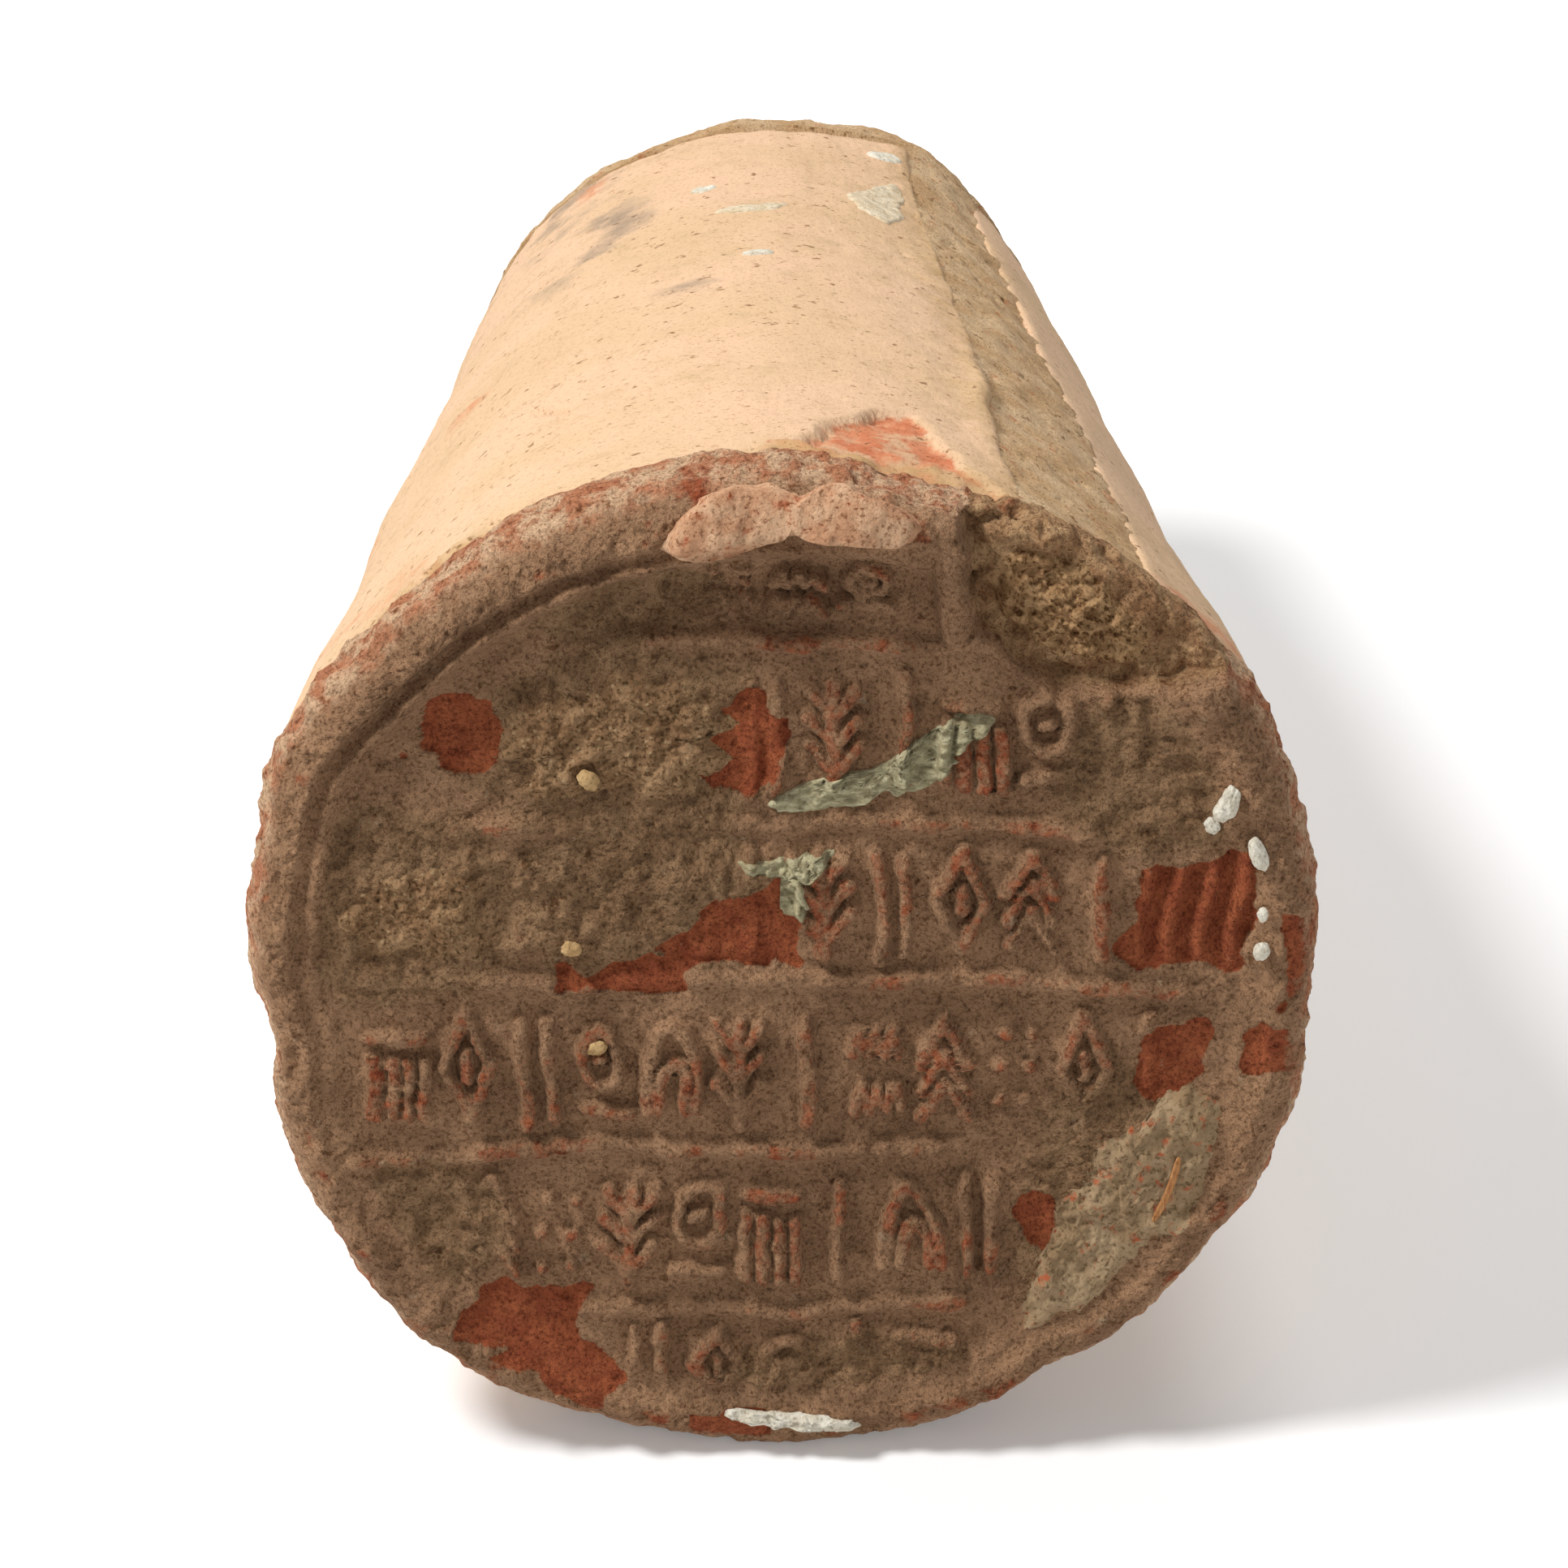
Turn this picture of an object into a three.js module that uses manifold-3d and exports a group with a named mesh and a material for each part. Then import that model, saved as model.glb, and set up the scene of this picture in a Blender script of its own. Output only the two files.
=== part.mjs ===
// A funerary cone of fired Nile clay, lying on its side as it dried.
// A coarse core tapers from a broad end to a tail. A finer coat is wrapped round the core and lapped along
// one side. A pad on the broad end was pressed with a stamp: a ridge round the border and five ruled lines
// stand proud of a sunken field, the clay folded over the rim above it, and one corner has broken away.
// Mud, plaster, lime, grit, straw and a dried residue cling to the face and the shaft.
// Millimetres. +X is to the right seen from the face, +Y runs from face to tail, +Z is up.
// The clay is laid out in the cone's own frame first: across and up in the face, and along its axis.

import * as THREE from "three";
import { mergeVertices } from "three/addons/utils/BufferGeometryUtils.js";
import Module from "manifold-3d";

const wasm = await Module();
wasm.setup();

// Driving dimensions
const FACE_RADIUS = 44;
const TAIL_RADIUS = 26.7;
const LENGTH = 137;
const SHAFT_BELLY = 0.3;
const SHAFT_LEAN = -0.006;
const TAIL_ROUND = { length: 8, drop: 7.2 };
const TAIL_CROWN = 1.1;
const PAD_THICKNESS = 7;
const RIM_ROLL = { depth: 5, drop: 3.5 };
const TOP_WEAR = { at: 96, spread: 30, depth: 1.4, drop: 1 };
const FIELD_DEPTH = 1.3;
const FIELD_SLANT = { from: 2, over: 30, depth: 1.5 };
const FIELD_HOLLOW = { across: -5, up: 32.3, width: 8, height: 2.4, depth: 1.8 };
const RIDGE_RADIUS = 38.6;
const RIDGE_WIDTH = 1.1;
const RIDGE_TOP_DEPTH = 0.1;
const RIDGE_INSIDE_CREST = 1.6;
const RIDGE_PROUD = { at: 125, spread: 55, least: 0.5 };
const RIM_GROOVE = { at: 135, spread: 34, least: 0.2, more: 1.3 };
const LINE_WIDTH = 1.6;
const LINE_HEIGHT = 1;
const COAT_THICKNESS = 1.6;
const COAT_TAIL_THICKNESS = 1.2;
const COAT_END = 127;
const SEAM_AT = 62.5;
const SEAM_LIP = 0.4;
const SEAM_LAP = { at: 38, over: 20 };
const COAT_STARTS_AT = 47;
const STRIP_DROP = 0.45;
const DRYING_CUT = 0.5;
const GAP = 0.3;

// The cone lies on the lowest line of its shaft, so its axis falls towards the tail by the taper.
const TILT = Math.atan((FACE_RADIUS - TAIL_RADIUS) / LENGTH);

// Where the hand left the clay proud or pressed it in: along the axis, round it in degrees, and by how much.
const SWELLS = [
  { along: 8, over: 24, at: 154, spread: 9, by: 1.3 },
  { along: 4, over: 14, at: 188, spread: 7, by: -1.3 },
  { along: 3, over: 16, at: 228, spread: 17, by: 1.5 },
  { along: 3, over: 10, at: 239, spread: 5, by: 0.6 },
  { along: 3, over: 10, at: 302, spread: 5, by: -0.9 },
  { along: 3, over: 10, at: 324, spread: 4, by: -0.6 },
  { along: 4, over: 12, at: 355, spread: 8, by: -0.7 },
  { along: 10, over: 20, at: 33, spread: 10, by: 1.2 },
  { along: 95, over: 8, at: 156, spread: 15, by: -0.7 },
  { along: 62, over: 9, at: 156, spread: 15, by: 0.5 },
  { along: 84, over: 9, at: 27, spread: 14, by: -0.5 },
  { along: 52, over: 8, at: 27, spread: 14, by: -0.5 },
  { along: 134, over: 14, at: 60, spread: 15, by: 1.5 },
  { along: 132, over: 8, at: 112, spread: 10, by: -0.5 },
];

// The border of the stamp isn't a true circle: it was pushed down at the top and pulled out at two sides.
const RIDGE_SHIFTS = [
  { at: 86, spread: 34, by: -1.2 },
  { at: 160, spread: 18, by: 1.1 },
  { at: 328, spread: 18, by: 1.1 },
];

// Small shaping functions
const radians = THREE.MathUtils.degToRad;
const degrees = THREE.MathUtils.radToDeg;
const lerp = THREE.MathUtils.lerp;
const clamp = THREE.MathUtils.clamp;

function ease(value) {
  return THREE.MathUtils.smoothstep(value, 0, 1);
}

function bump(distance, spread) {
  return Math.exp(-((distance / spread) ** 2));
}

function turnFrom(angle, other) {
  return THREE.MathUtils.euclideanModulo(angle - other + 180, 360) - 180;
}

// The shaft: its radius at a distance along the axis and an angle round it, 90 degrees being the top.
function shaftRadius(along, around) {
  const share = along / LENGTH;
  let radius = lerp(FACE_RADIUS, TAIL_RADIUS, share) + SHAFT_BELLY * Math.sin(Math.PI * share);
  for (const swell of SWELLS) {
    const near = bump(along - swell.along, swell.over);
    radius += swell.by * near * bump(turnFrom(around, swell.at), swell.spread);
  }
  const end = clamp((along - LENGTH + TAIL_ROUND.length) / TAIL_ROUND.length, 0, 1);
  return radius - TAIL_ROUND.drop * (1 - Math.sqrt(1 - end * end));
}

function shaftPoint(along, around, height = 0) {
  const radius = shaftRadius(along, around) + height;
  const angle = radians(around);
  return [radius * Math.cos(angle) + SHAFT_LEAN * along, along, radius * Math.sin(angle)];
}

// The rim rolls from the shaft into the face, and is worn further back at the top.
function rimRoll(around) {
  const wear = bump(turnFrom(around, TOP_WEAR.at), TOP_WEAR.spread);
  const depth = RIM_ROLL.depth + TOP_WEAR.depth * wear;
  const drop = RIM_ROLL.drop + TOP_WEAR.drop * wear;
  const radius = shaftRadius(depth, around);
  return { depth, drop, radius, crest: radius - drop };
}

function ridgeRadius(around) {
  let radius = RIDGE_RADIUS;
  for (const shift of RIDGE_SHIFTS) {
    radius += shift.by * bump(turnFrom(around, shift.at), shift.spread);
  }
  return Math.min(radius, rimRoll(around).crest - RIDGE_INSIDE_CREST);
}

// How far the front of the stamped pad lies behind the plane of the rim's crest.
function frontDepth(across, up) {
  const reach = Math.hypot(across, up);
  const around = degrees(Math.atan2(up, across));
  const rim = rimRoll(around);
  if (reach > rim.crest) {
    const drop = Math.min((reach - rim.crest) / rim.drop, 1);
    return rim.depth * (1 - Math.sqrt(1 - drop * drop));
  }
  const ridge = ridgeRadius(around);
  const slant = FIELD_SLANT.depth * ease((up - FIELD_SLANT.from) / FIELD_SLANT.over);
  const hollowAcross = bump(across - FIELD_HOLLOW.across, FIELD_HOLLOW.width);
  const hollow = FIELD_HOLLOW.depth * hollowAcross * bump(up - FIELD_HOLLOW.up, FIELD_HOLLOW.height);
  const field = FIELD_DEPTH + slant + hollow;
  const proud = lerp(RIDGE_PROUD.least, 1, bump(turnFrom(around, RIDGE_PROUD.at), RIDGE_PROUD.spread));
  const ridgeDepth = lerp(field, RIDGE_TOP_DEPTH, proud);
  if (reach < ridge) {
    return lerp(field, ridgeDepth, bump(ridge - reach, RIDGE_WIDTH));
  }
  const band = (reach - ridge) / (rim.crest - ridge);
  const deeper = RIM_GROOVE.more * bump(turnFrom(around, RIM_GROOVE.at), RIM_GROOVE.spread);
  const groove = (RIM_GROOVE.least + deeper) * Math.sin(Math.PI * band);
  return lerp(ridgeDepth, 0, band) + groove;
}

function facePoint(across, up, height = 0) {
  return [across, frontDepth(across, up) - height, up];
}

// A point over the rim's roll: share 0 is where the roll meets the shaft, 1 is its crest, and past 1 it is
// on the face.
function rollPoint(around, share, height) {
  const rim = rimRoll(around);
  const angle = radians(around);
  const turn = radians(90 * Math.min(share, 1));
  const inward = Math.max(share - 1, 0) * rim.drop;
  const reach = rim.crest + rim.drop * Math.cos(turn) - inward + height * Math.cos(turn);
  const depth = share > 1
    ? frontDepth(reach * Math.cos(angle), reach * Math.sin(angle))
    : rim.depth * (1 - Math.sin(turn));
  return [reach * Math.cos(angle), depth - height * Math.sin(turn), reach * Math.sin(angle)];
}

// Closed solids from rings of points
function solidGeometry(points, triangles) {
  const geometry = new THREE.BufferGeometry();
  geometry.setAttribute("position", new THREE.Float32BufferAttribute(points.flat(), 3));
  geometry.setIndex(triangles);
  if (signedVolume(points, triangles) < 0) {
    geometry.setIndex(triangles.toReversed());
  }
  return geometry;
}

function signedVolume(points, triangles) {
  const corners = points.map((point) => new THREE.Vector3(...point));
  const across = new THREE.Vector3();
  let volume = 0;
  for (let i = 0; i < triangles.length; i += 3) {
    across.crossVectors(corners[triangles[i + 1]], corners[triangles[i + 2]]);
    volume += corners[triangles[i]].dot(across) / 6;
  }
  return volume;
}

// Closes one end of a loft to a point in the ring's middle.
function closeToMiddle(points, ring) {
  const middle = [0, 1, 2].map((axis) => ring.reduce((sum, i) => sum + points[i][axis], 0) / ring.length);
  const tip = points.push(middle) - 1;
  return ring.flatMap((corner, i) => [tip, corner, ring[(i + 1) % ring.length]]);
}

// Closes one end of a loft whose ring runs out along one curve and back beside it.
function closeAsBand(points, ring) {
  const triangles = [];
  for (let i = 0; i < ring.length / 2 - 1; i += 1) {
    const back = ring.length - 1 - i;
    triangles.push(ring[i], ring[i + 1], ring[back - 1], ring[i], ring[back - 1], ring[back]);
  }
  return triangles;
}

function loft(rings, close = closeToMiddle) {
  const count = rings[0].length;
  const points = rings.flat();
  const triangles = [];
  const indices = rings.map((ring, r) => ring.map((_, i) => r * count + i));
  for (let r = 0; r + 1 < rings.length; r += 1) {
    for (let i = 0; i < count; i += 1) {
      const next = (i + 1) % count;
      triangles.push(indices[r][i], indices[r][next], indices[r + 1][next]);
      triangles.push(indices[r][i], indices[r + 1][next], indices[r + 1][i]);
    }
  }
  triangles.push(...close(points, indices[0]).toReversed());
  triangles.push(...close(points, indices.at(-1)));
  return solidGeometry(points, triangles);
}

function smoothOutline(corners, count) {
  const curve = new THREE.CatmullRomCurve3(corners.map(([a, b]) => new THREE.Vector3(a, b, 0)), true);
  return curve.getSpacedPoints(count).slice(0, count).map((point) => [point.x, point.y]);
}

// A flat-bottomed cushion over an outline. Its rings shrink to the middle by these shares, and `top` and
// `under` place a point of it, given how near the middle it is.
const CUSHION_UNDER = [0.6, 0];
const CUSHION_TOP = [0, 0.16, 0.5, 0.82];

function cushion(corners, top, under, count = 16) {
  const outline = smoothOutline(corners, count);
  const middle = [0, 1].map((axis) => outline.reduce((sum, point) => sum + point[axis], 0) / count);
  const ring = (inward, place) =>
    outline.map(([a, b]) => place(lerp(a, middle[0], inward), lerp(b, middle[1], inward), inward));
  const rings = CUSHION_UNDER.map((inward) => ring(inward, under));
  rings.push(...CUSHION_TOP.map((inward) => ring(inward, top)));
  return loft(rings);
}

// Cuts and joins
function toManifold(geometry) {
  const bare = geometry.clone();
  bare.deleteAttribute("normal");
  bare.deleteAttribute("uv");
  const merged = mergeVertices(bare, 1e-4);
  return new wasm.Manifold(new wasm.Mesh({
    numProp: 3,
    vertProperties: new Float32Array(merged.attributes.position.array),
    triVerts: new Uint32Array(merged.index.array),
  }));
}

function fromManifold(solid) {
  const mesh = solid.getMesh();
  const geometry = new THREE.BufferGeometry();
  geometry.setAttribute("position", new THREE.Float32BufferAttribute(mesh.vertProperties, mesh.numProp));
  geometry.setIndex([...mesh.triVerts]);
  return geometry;
}

function join(geometry, ...others) {
  return fromManifold(others.reduce((sum, other) => sum.add(toManifold(other)), toManifold(geometry)));
}

function cut(geometry, ...others) {
  return fromManifold(others.reduce((rest, other) => rest.subtract(toManifold(other)), toManifold(geometry)));
}

// The drying flat: the soft cone settled on its lowest line, which is cut level here in the cone's own frame.
const REST_HEIGHT = (FACE_RADIUS - DRYING_CUT) * Math.cos(TILT);

function dryingCutter() {
  const size = 4 * LENGTH;
  const box = new THREE.BoxGeometry(size, size, size);
  box.translate(0, 0, -REST_HEIGHT - size / 2);
  box.rotateX(TILT);
  return box;
}

const cutter = dryingCutter();

// The core: coarse clay, under the coat except along the open strip beside the seam and at the tail
const SEAM_BEND = { at: 24, over: 18, by: 1.5 };
const COAT_THINS_FROM = 100;

function seamAngle(along) {
  return SEAM_AT + SEAM_BEND.by * bump(along - SEAM_BEND.at, SEAM_BEND.over);
}

function coatThickness(along) {
  const thinned = ease((along - COAT_THINS_FROM) / (COAT_END - COAT_THINS_FROM));
  return lerp(COAT_THICKNESS, COAT_TAIL_THICKNESS, thinned);
}

// Both the coat and the core under it turn through these angles, so their facets run side by side.
const WRAP_STEPS = 42;
const WRAP_AFTER_SEAM = 9;

function wrapAngles(along) {
  const from = seamAngle(along) + WRAP_AFTER_SEAM;
  return Array.from({ length: WRAP_STEPS + 1 }, (_, i) => lerp(from, COAT_STARTS_AT + 360, i / WRAP_STEPS));
}

// Distances from the face where the coat and the core have a ring, and the core's last ones at the bare tail
const STATIONS = [PAD_THICKNESS + GAP, 11, 16, 22, 29, 38, 48, 58, 68, 78, 88, 98, 108, 118];
const TAIL_STATIONS = [COAT_END + GAP, 129.5, 132, 134.3, 136, LENGTH];

// The open strip stands just below the coat's outside, with finger ripples, and clears both its edges.
const STRIP_SHARES = [0, 0.3, 0.65, 1];
const STRIP_CLEARANCE = 1.4 * GAP;
const STRIP_RIPPLE = { height: 0.25, rate: 0.9 };
const STRIP_STEP = 0.2;
const STRIP_SHOULDER = 4.5;
const BARE_DROP = 0.1;

function coreRing(along, covered) {
  const clearance = degrees(STRIP_CLEARANCE / shaftRadius(along, SEAM_AT));
  const stripFrom = COAT_STARTS_AT + clearance;
  const stripTo = seamAngle(along) - clearance;
  const strip = STRIP_SHARES.map((share) => {
    const around = lerp(stripFrom, stripTo, share);
    const ripple = STRIP_RIPPLE.height * Math.sin(along * STRIP_RIPPLE.rate + around);
    return shaftPoint(along, around, -STRIP_DROP - ripple);
  });
  const angles = [stripTo + STRIP_STEP, stripTo + STRIP_SHOULDER, ...wrapAngles(along).slice(0, -1)];
  angles.push(stripFrom + 360 - STRIP_STEP);
  const depth = covered ? coatThickness(along) + GAP : BARE_DROP;
  return [...strip, ...angles.map((around) => shaftPoint(along, around, -depth))];
}

// The tail end is crowned: each ring is drawn in towards the axis and stands out by a share of the crown.
const CROWN_RINGS = [
  { inward: 0.35, out: 0.6 },
  { inward: 0.75, out: 1 },
];

function clayCore() {
  const rings = [...STATIONS, COAT_END + GAP].map((along) => coreRing(along, true));
  rings.push(...TAIL_STATIONS.map((along) => coreRing(along, false)));
  const end = coreRing(LENGTH, false);
  for (const { inward, out } of CROWN_RINGS) {
    rings.push(end.map(([x, y, z]) => [lerp(x, 0, inward), y + TAIL_CROWN * out, lerp(z, 0, inward)]));
  }
  return cut(loft(rings), cutter);
}

// The coat: a sheet of finer clay wrapped round the core from beside the open strip to the lapped seam
const LAP_ANGLES = [0, 1.2, 3, 5.5];
const LAP_CREST = 1.8;

function lapHeight(along, fromSeam) {
  const crest = bump(fromSeam - LAP_CREST, LAP_CREST);
  return SEAM_LIP * crest * bump(along - SEAM_LAP.at, SEAM_LAP.over);
}

function coatRing(along) {
  const seam = seamAngle(along);
  const angles = [...LAP_ANGLES.map((angle) => seam + angle), ...wrapAngles(along)];
  const outside = angles.map((around) => shaftPoint(along, around, lapHeight(along, around - seam)));
  const inside = angles.map((around) => shaftPoint(along, around, -coatThickness(along)));
  return [...outside, ...inside.toReversed()];
}

// Near the rim a flake of the coat has come off beside the seam: distance along the axis, then degrees.
const COAT_FLAKE = [[4, 70], [4, 84], [10, 86], [16.5, 86], [21.5, 80], [22.5, 75], [18, 72], [12, 70]];
const FLAKE_OVER = 2;
const FLAKE_BELOW = -3;

function flakeCutter() {
  const over = (along, around) => shaftPoint(along, around, FLAKE_OVER);
  const below = (along, around) => shaftPoint(along, around, FLAKE_BELOW);
  return cushion(COAT_FLAKE, over, below);
}

function outerCoat() {
  return cut(loft([...STATIONS, COAT_END].map(coatRing), closeAsBand), flakeCutter(), cutter);
}

// The stamped pad, with its border ridge, ruled lines and broken corner
const FACE_STEPS = 64;

function ringOnFace(reachAt, depthAt) {
  return Array.from({ length: FACE_STEPS }, (_, i) => {
    const around = (360 * i) / FACE_STEPS;
    const angle = radians(around);
    const reach = reachAt(around);
    const across = reach * Math.cos(angle);
    const up = reach * Math.sin(angle);
    return [across, depthAt ? depthAt(around) : frontDepth(across, up), up];
  });
}

// The pad's rings: shares of the way out over the field, distances inside the ridge, then turns over the rim
const FIELD_SHARES = [0.25, 0.5, 0.7, 0.84];
const RIDGE_STEPS = [2.4, 1.2, 0];
const ROLL_TURNS = [88, 66, 44, 22, 0];

function padBody() {
  const rings = FIELD_SHARES.map((share) => ringOnFace((around) => share * ridgeRadius(around)));
  for (const inside of RIDGE_STEPS) {
    rings.push(ringOnFace((around) => ridgeRadius(around) - inside));
  }
  rings.push(ringOnFace((around) => (ridgeRadius(around) + rimRoll(around).crest) / 2));
  for (const turn of ROLL_TURNS) {
    const out = Math.cos(radians(turn));
    const back = 1 - Math.sin(radians(turn));
    rings.push(ringOnFace(
      (around) => rimRoll(around).crest + rimRoll(around).drop * out,
      (around) => rimRoll(around).depth * back,
    ));
  }
  rings.push(ringOnFace((around) => shaftRadius(PAD_THICKNESS, around), () => PAD_THICKNESS));
  return loft(rings);
}

const RULED_LINES = [
  [[-17.6, 28.4], [0, 28.6], [17, 28.5]],
  [[-29, 13.1], [-14, 13.5], [4, 13.4], [20, 13], [33, 12.6]],
  [[-30, -0.5], [-12, -0.2], [6, -0.2], [24, -0.8], [35, -2.5]],
  [[-35.9, -16.5], [-26, -15.9], [-16, -14.6], [-4, -15.4], [16.2, -15.3]],
  [[-20.3, -29.6], [-2, -29.9], [16, -29.6]],
];

// A line's section in shares of half its width and of its height, rooted in the clay of the field.
const LINE_SECTION = [[1, -0.8], [1, 0.1], [0.55, 0.8], [-0.45, 1], [-1, 0.2], [-1, -0.8]];
const LINE_STATION = 6;
const LINE_END_FADE = 0.45;

function ruledLine(waypoints) {
  const curve = new THREE.CatmullRomCurve3(waypoints.map(([across, up]) => new THREE.Vector3(across, up, 0)));
  const stations = Math.round(curve.getLength() / LINE_STATION);
  return loft(curve.getSpacedPoints(stations).map((point, i) => {
    const fade = i === 0 || i === stations ? LINE_END_FADE : 1;
    return LINE_SECTION.map(([aside, height]) => {
      const [across, depth, up] = facePoint(point.x, point.y);
      const raised = LINE_HEIGHT * (height > 0 ? fade * height : height);
      return [across, depth - raised, up + (fade * aside * LINE_WIDTH) / 2];
    });
  }));
}

// The broken corner is deepest against its steep left wall and shelves out to the rim.
const BREAK_OUTLINE = [
  [14.2, 39.5], [14.3, 32.8], [15.9, 29.4], [18.2, 26.5], [22, 23.8], [26.5, 23.4],
  [31, 24.6], [36, 26], [37.5, 31], [31, 38], [23, 43.5], [16, 45.5],
];
const BREAK_DEEPEST = { across: 15, up: 29.5 };
const BREAK_DEPTH = 4.7;
const BREAK_RISE = 2.6;
const BREAK_RUN = 22;
const BREAK_OUTWARD = { across: 0.75, up: 0.66 };
const BREAK_EDGE_RISE = 1.2;
const BREAK_CLEARANCE = 0.3;
const BREAK_STEPS = 28;
const IN_FRONT = -3;

function breakDepth(across, up) {
  const aside = BREAK_OUTWARD.across * (across - BREAK_DEEPEST.across);
  const above = BREAK_OUTWARD.up * (up - BREAK_DEEPEST.up);
  return BREAK_DEPTH - BREAK_RISE * clamp((aside + above) / BREAK_RUN, -0.1, 1.4);
}

function breakCutter() {
  const clear = (across, up) => [across, IN_FRONT, up];
  const edgeRise = (inward) => BREAK_EDGE_RISE * (1 - ease(inward * 4));
  const floor = (across, up, inward) => [across, breakDepth(across, up) - edgeRise(inward), up];
  return cushion(BREAK_OUTLINE, floor, clear, BREAK_STEPS);
}

// Clay squeezed out by the stamp runs down the edge of the break and ends in a smooth blob.
const BEAD_PATH = [
  { across: 12.6, up: 37, radius: 0.7 },
  { across: 12.9, up: 36, radius: 1.1 },
  { across: 13.2, up: 34, radius: 1.3 },
  { across: 13.6, up: 32, radius: 1.5 },
  { across: 13.6, up: 30.6, radius: 1.4 },
  { across: 13.5, up: 29.4, radius: 0.8 },
];
const BEAD_DEPTH = 1.6;
const BEAD_SIDES = 8;

function squeezedBead() {
  return loft(BEAD_PATH.map(({ across, up, radius }) =>
    Array.from({ length: BEAD_SIDES }, (_, i) => {
      const turn = (2 * Math.PI * i) / BEAD_SIDES;
      return [across + radius * Math.cos(turn), BEAD_DEPTH - radius * Math.sin(turn), up];
    })));
}

function stampedFace() {
  const lined = join(padBody(), ...RULED_LINES.map(ruledLine));
  return cut(join(cut(lined, breakCutter()), squeezedBead()), cutter);
}

// The folded lip lies over the rim's roll: degrees round the face, then shares of the way over the roll.
const LIP_OUTLINE = [
  [103.5, 0.85], [103.5, 1.2], [99, 1.34], [93, 1.24], [87, 1.1], [81, 1.08], [76, 1.04],
  [74.5, 0.82], [77, 0.6], [84, 0.45], [92, 0.42], [99, 0.52],
];
const LIP_CLEARANCE = 2.2 * GAP;
const LIP_EDGE = 0.5;
const LIP_CROWN = 0.9;
const LIP_STEPS = 26;

function foldedLip() {
  const thickness = (inward) => LIP_CLEARANCE + LIP_EDGE + LIP_CROWN * ease(inward * 3);
  const over = (around, share, inward) => rollPoint(around, share, thickness(inward));
  const below = (around, share) => rollPoint(around, share, LIP_CLEARANCE);
  return cushion(LIP_OUTLINE, over, below, LIP_STEPS);
}

// Deposits on the face and the shaft: thinner at the edge, full where the ease from the edge ends
const DEPOSIT_EDGE = 0.4;
const DEPOSIT_RISE = 2.5;

function faceDeposit(outline, thickness, base = facePoint) {
  const height = (inward) => GAP + thickness * lerp(DEPOSIT_EDGE, 1, ease(inward * DEPOSIT_RISE));
  return cushion(outline, (a, b, inward) => base(a, b, height(inward)), (a, b) => base(a, b, GAP));
}

function shaftDeposit(outline, thickness) {
  return faceDeposit(outline, thickness, shaftPoint);
}

function breakPoint(across, up, height) {
  return [across, breakDepth(across, up) - height - BREAK_CLEARANCE, up];
}

// An irregular lump: a ball of the given half sizes, dented by a wave that differs from lump to lump.
const LUMP_DENT = 0.13;

function lump(halfSizes, wave) {
  const ball = new THREE.IcosahedronGeometry(1, 1);
  const position = ball.attributes.position;
  for (let i = 0; i < position.count; i += 1) {
    const corner = new THREE.Vector3().fromBufferAttribute(position, i);
    const ripple = Math.sin(3.1 * corner.x + wave) * Math.cos(2.7 * corner.z - 2 * wave + corner.y);
    corner.multiplyScalar(1 + LUMP_DENT * ripple).multiply(new THREE.Vector3(...halfSizes));
    position.setXYZ(i, corner.x, corner.y, corner.z);
  }
  return ball;
}

// The straw is widest past its middle and thins to both ends; its section is a flattened five-sided tube.
const STRAW_FULLNESS = [[-0.5, 0.25], [-0.3, 0.9], [0.1, 1], [0.38, 0.8], [0.5, 0.2]];
const STRAW_SECTION = [[1, 0], [0.5, -1], [-0.5, -1], [-1, 0], [0, 0.5]];

function strawSliver(length, width) {
  return loft(STRAW_FULLNESS.map(([share, fullness]) => {
    const half = (width / 2) * fullness;
    return STRAW_SECTION.map(([aside, height]) => [aside * half, height * half, share * length]);
  }));
}

// Materials: colour and roughness of each kind of clay and deposit
const FINISHES = {
  coreClay: { color: 0xb9744c, roughness: 0.95 },
  coatClay: { color: 0xd9bb97, roughness: 0.85 },
  faceClay: { color: 0xa9805f, roughness: 0.92 },
  redClay: { color: 0xb8683f, roughness: 0.94 },
  mud: { color: 0x917a60, roughness: 0.96 },
  residue: { color: 0xcfc79c, roughness: 0.8 },
  plaster: { color: 0xe6e0cc, roughness: 0.9 },
  lime: { color: 0xe0d6bf, roughness: 0.9 },
  limestone: { color: 0xc9a977, roughness: 0.85 },
  straw: { color: 0xcf9a63, roughness: 0.7 },
};

function piece(name, finish, geometry) {
  const material = new THREE.MeshStandardMaterial({ ...FINISHES[finish], metalness: 0 });
  const mesh = new THREE.Mesh(geometry, material);
  mesh.name = name;
  return mesh;
}

// A small loose body set on a surface point, standing clear of it by the seating gap.
function settled(mesh, [x, y, z], clearance, turn = 0) {
  mesh.position.set(x, y - clearance - GAP, z);
  mesh.rotation.y = radians(turn);
  return mesh;
}

const cone = new THREE.Group();
cone.add(
  piece("clay_core", "coreClay", clayCore()),
  piece("outer_coat", "coatClay", outerCoat()),
  piece("stamped_face", "faceClay", stampedFace()),
  piece("folded_lip", "redClay", foldedLip()),
);

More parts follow.
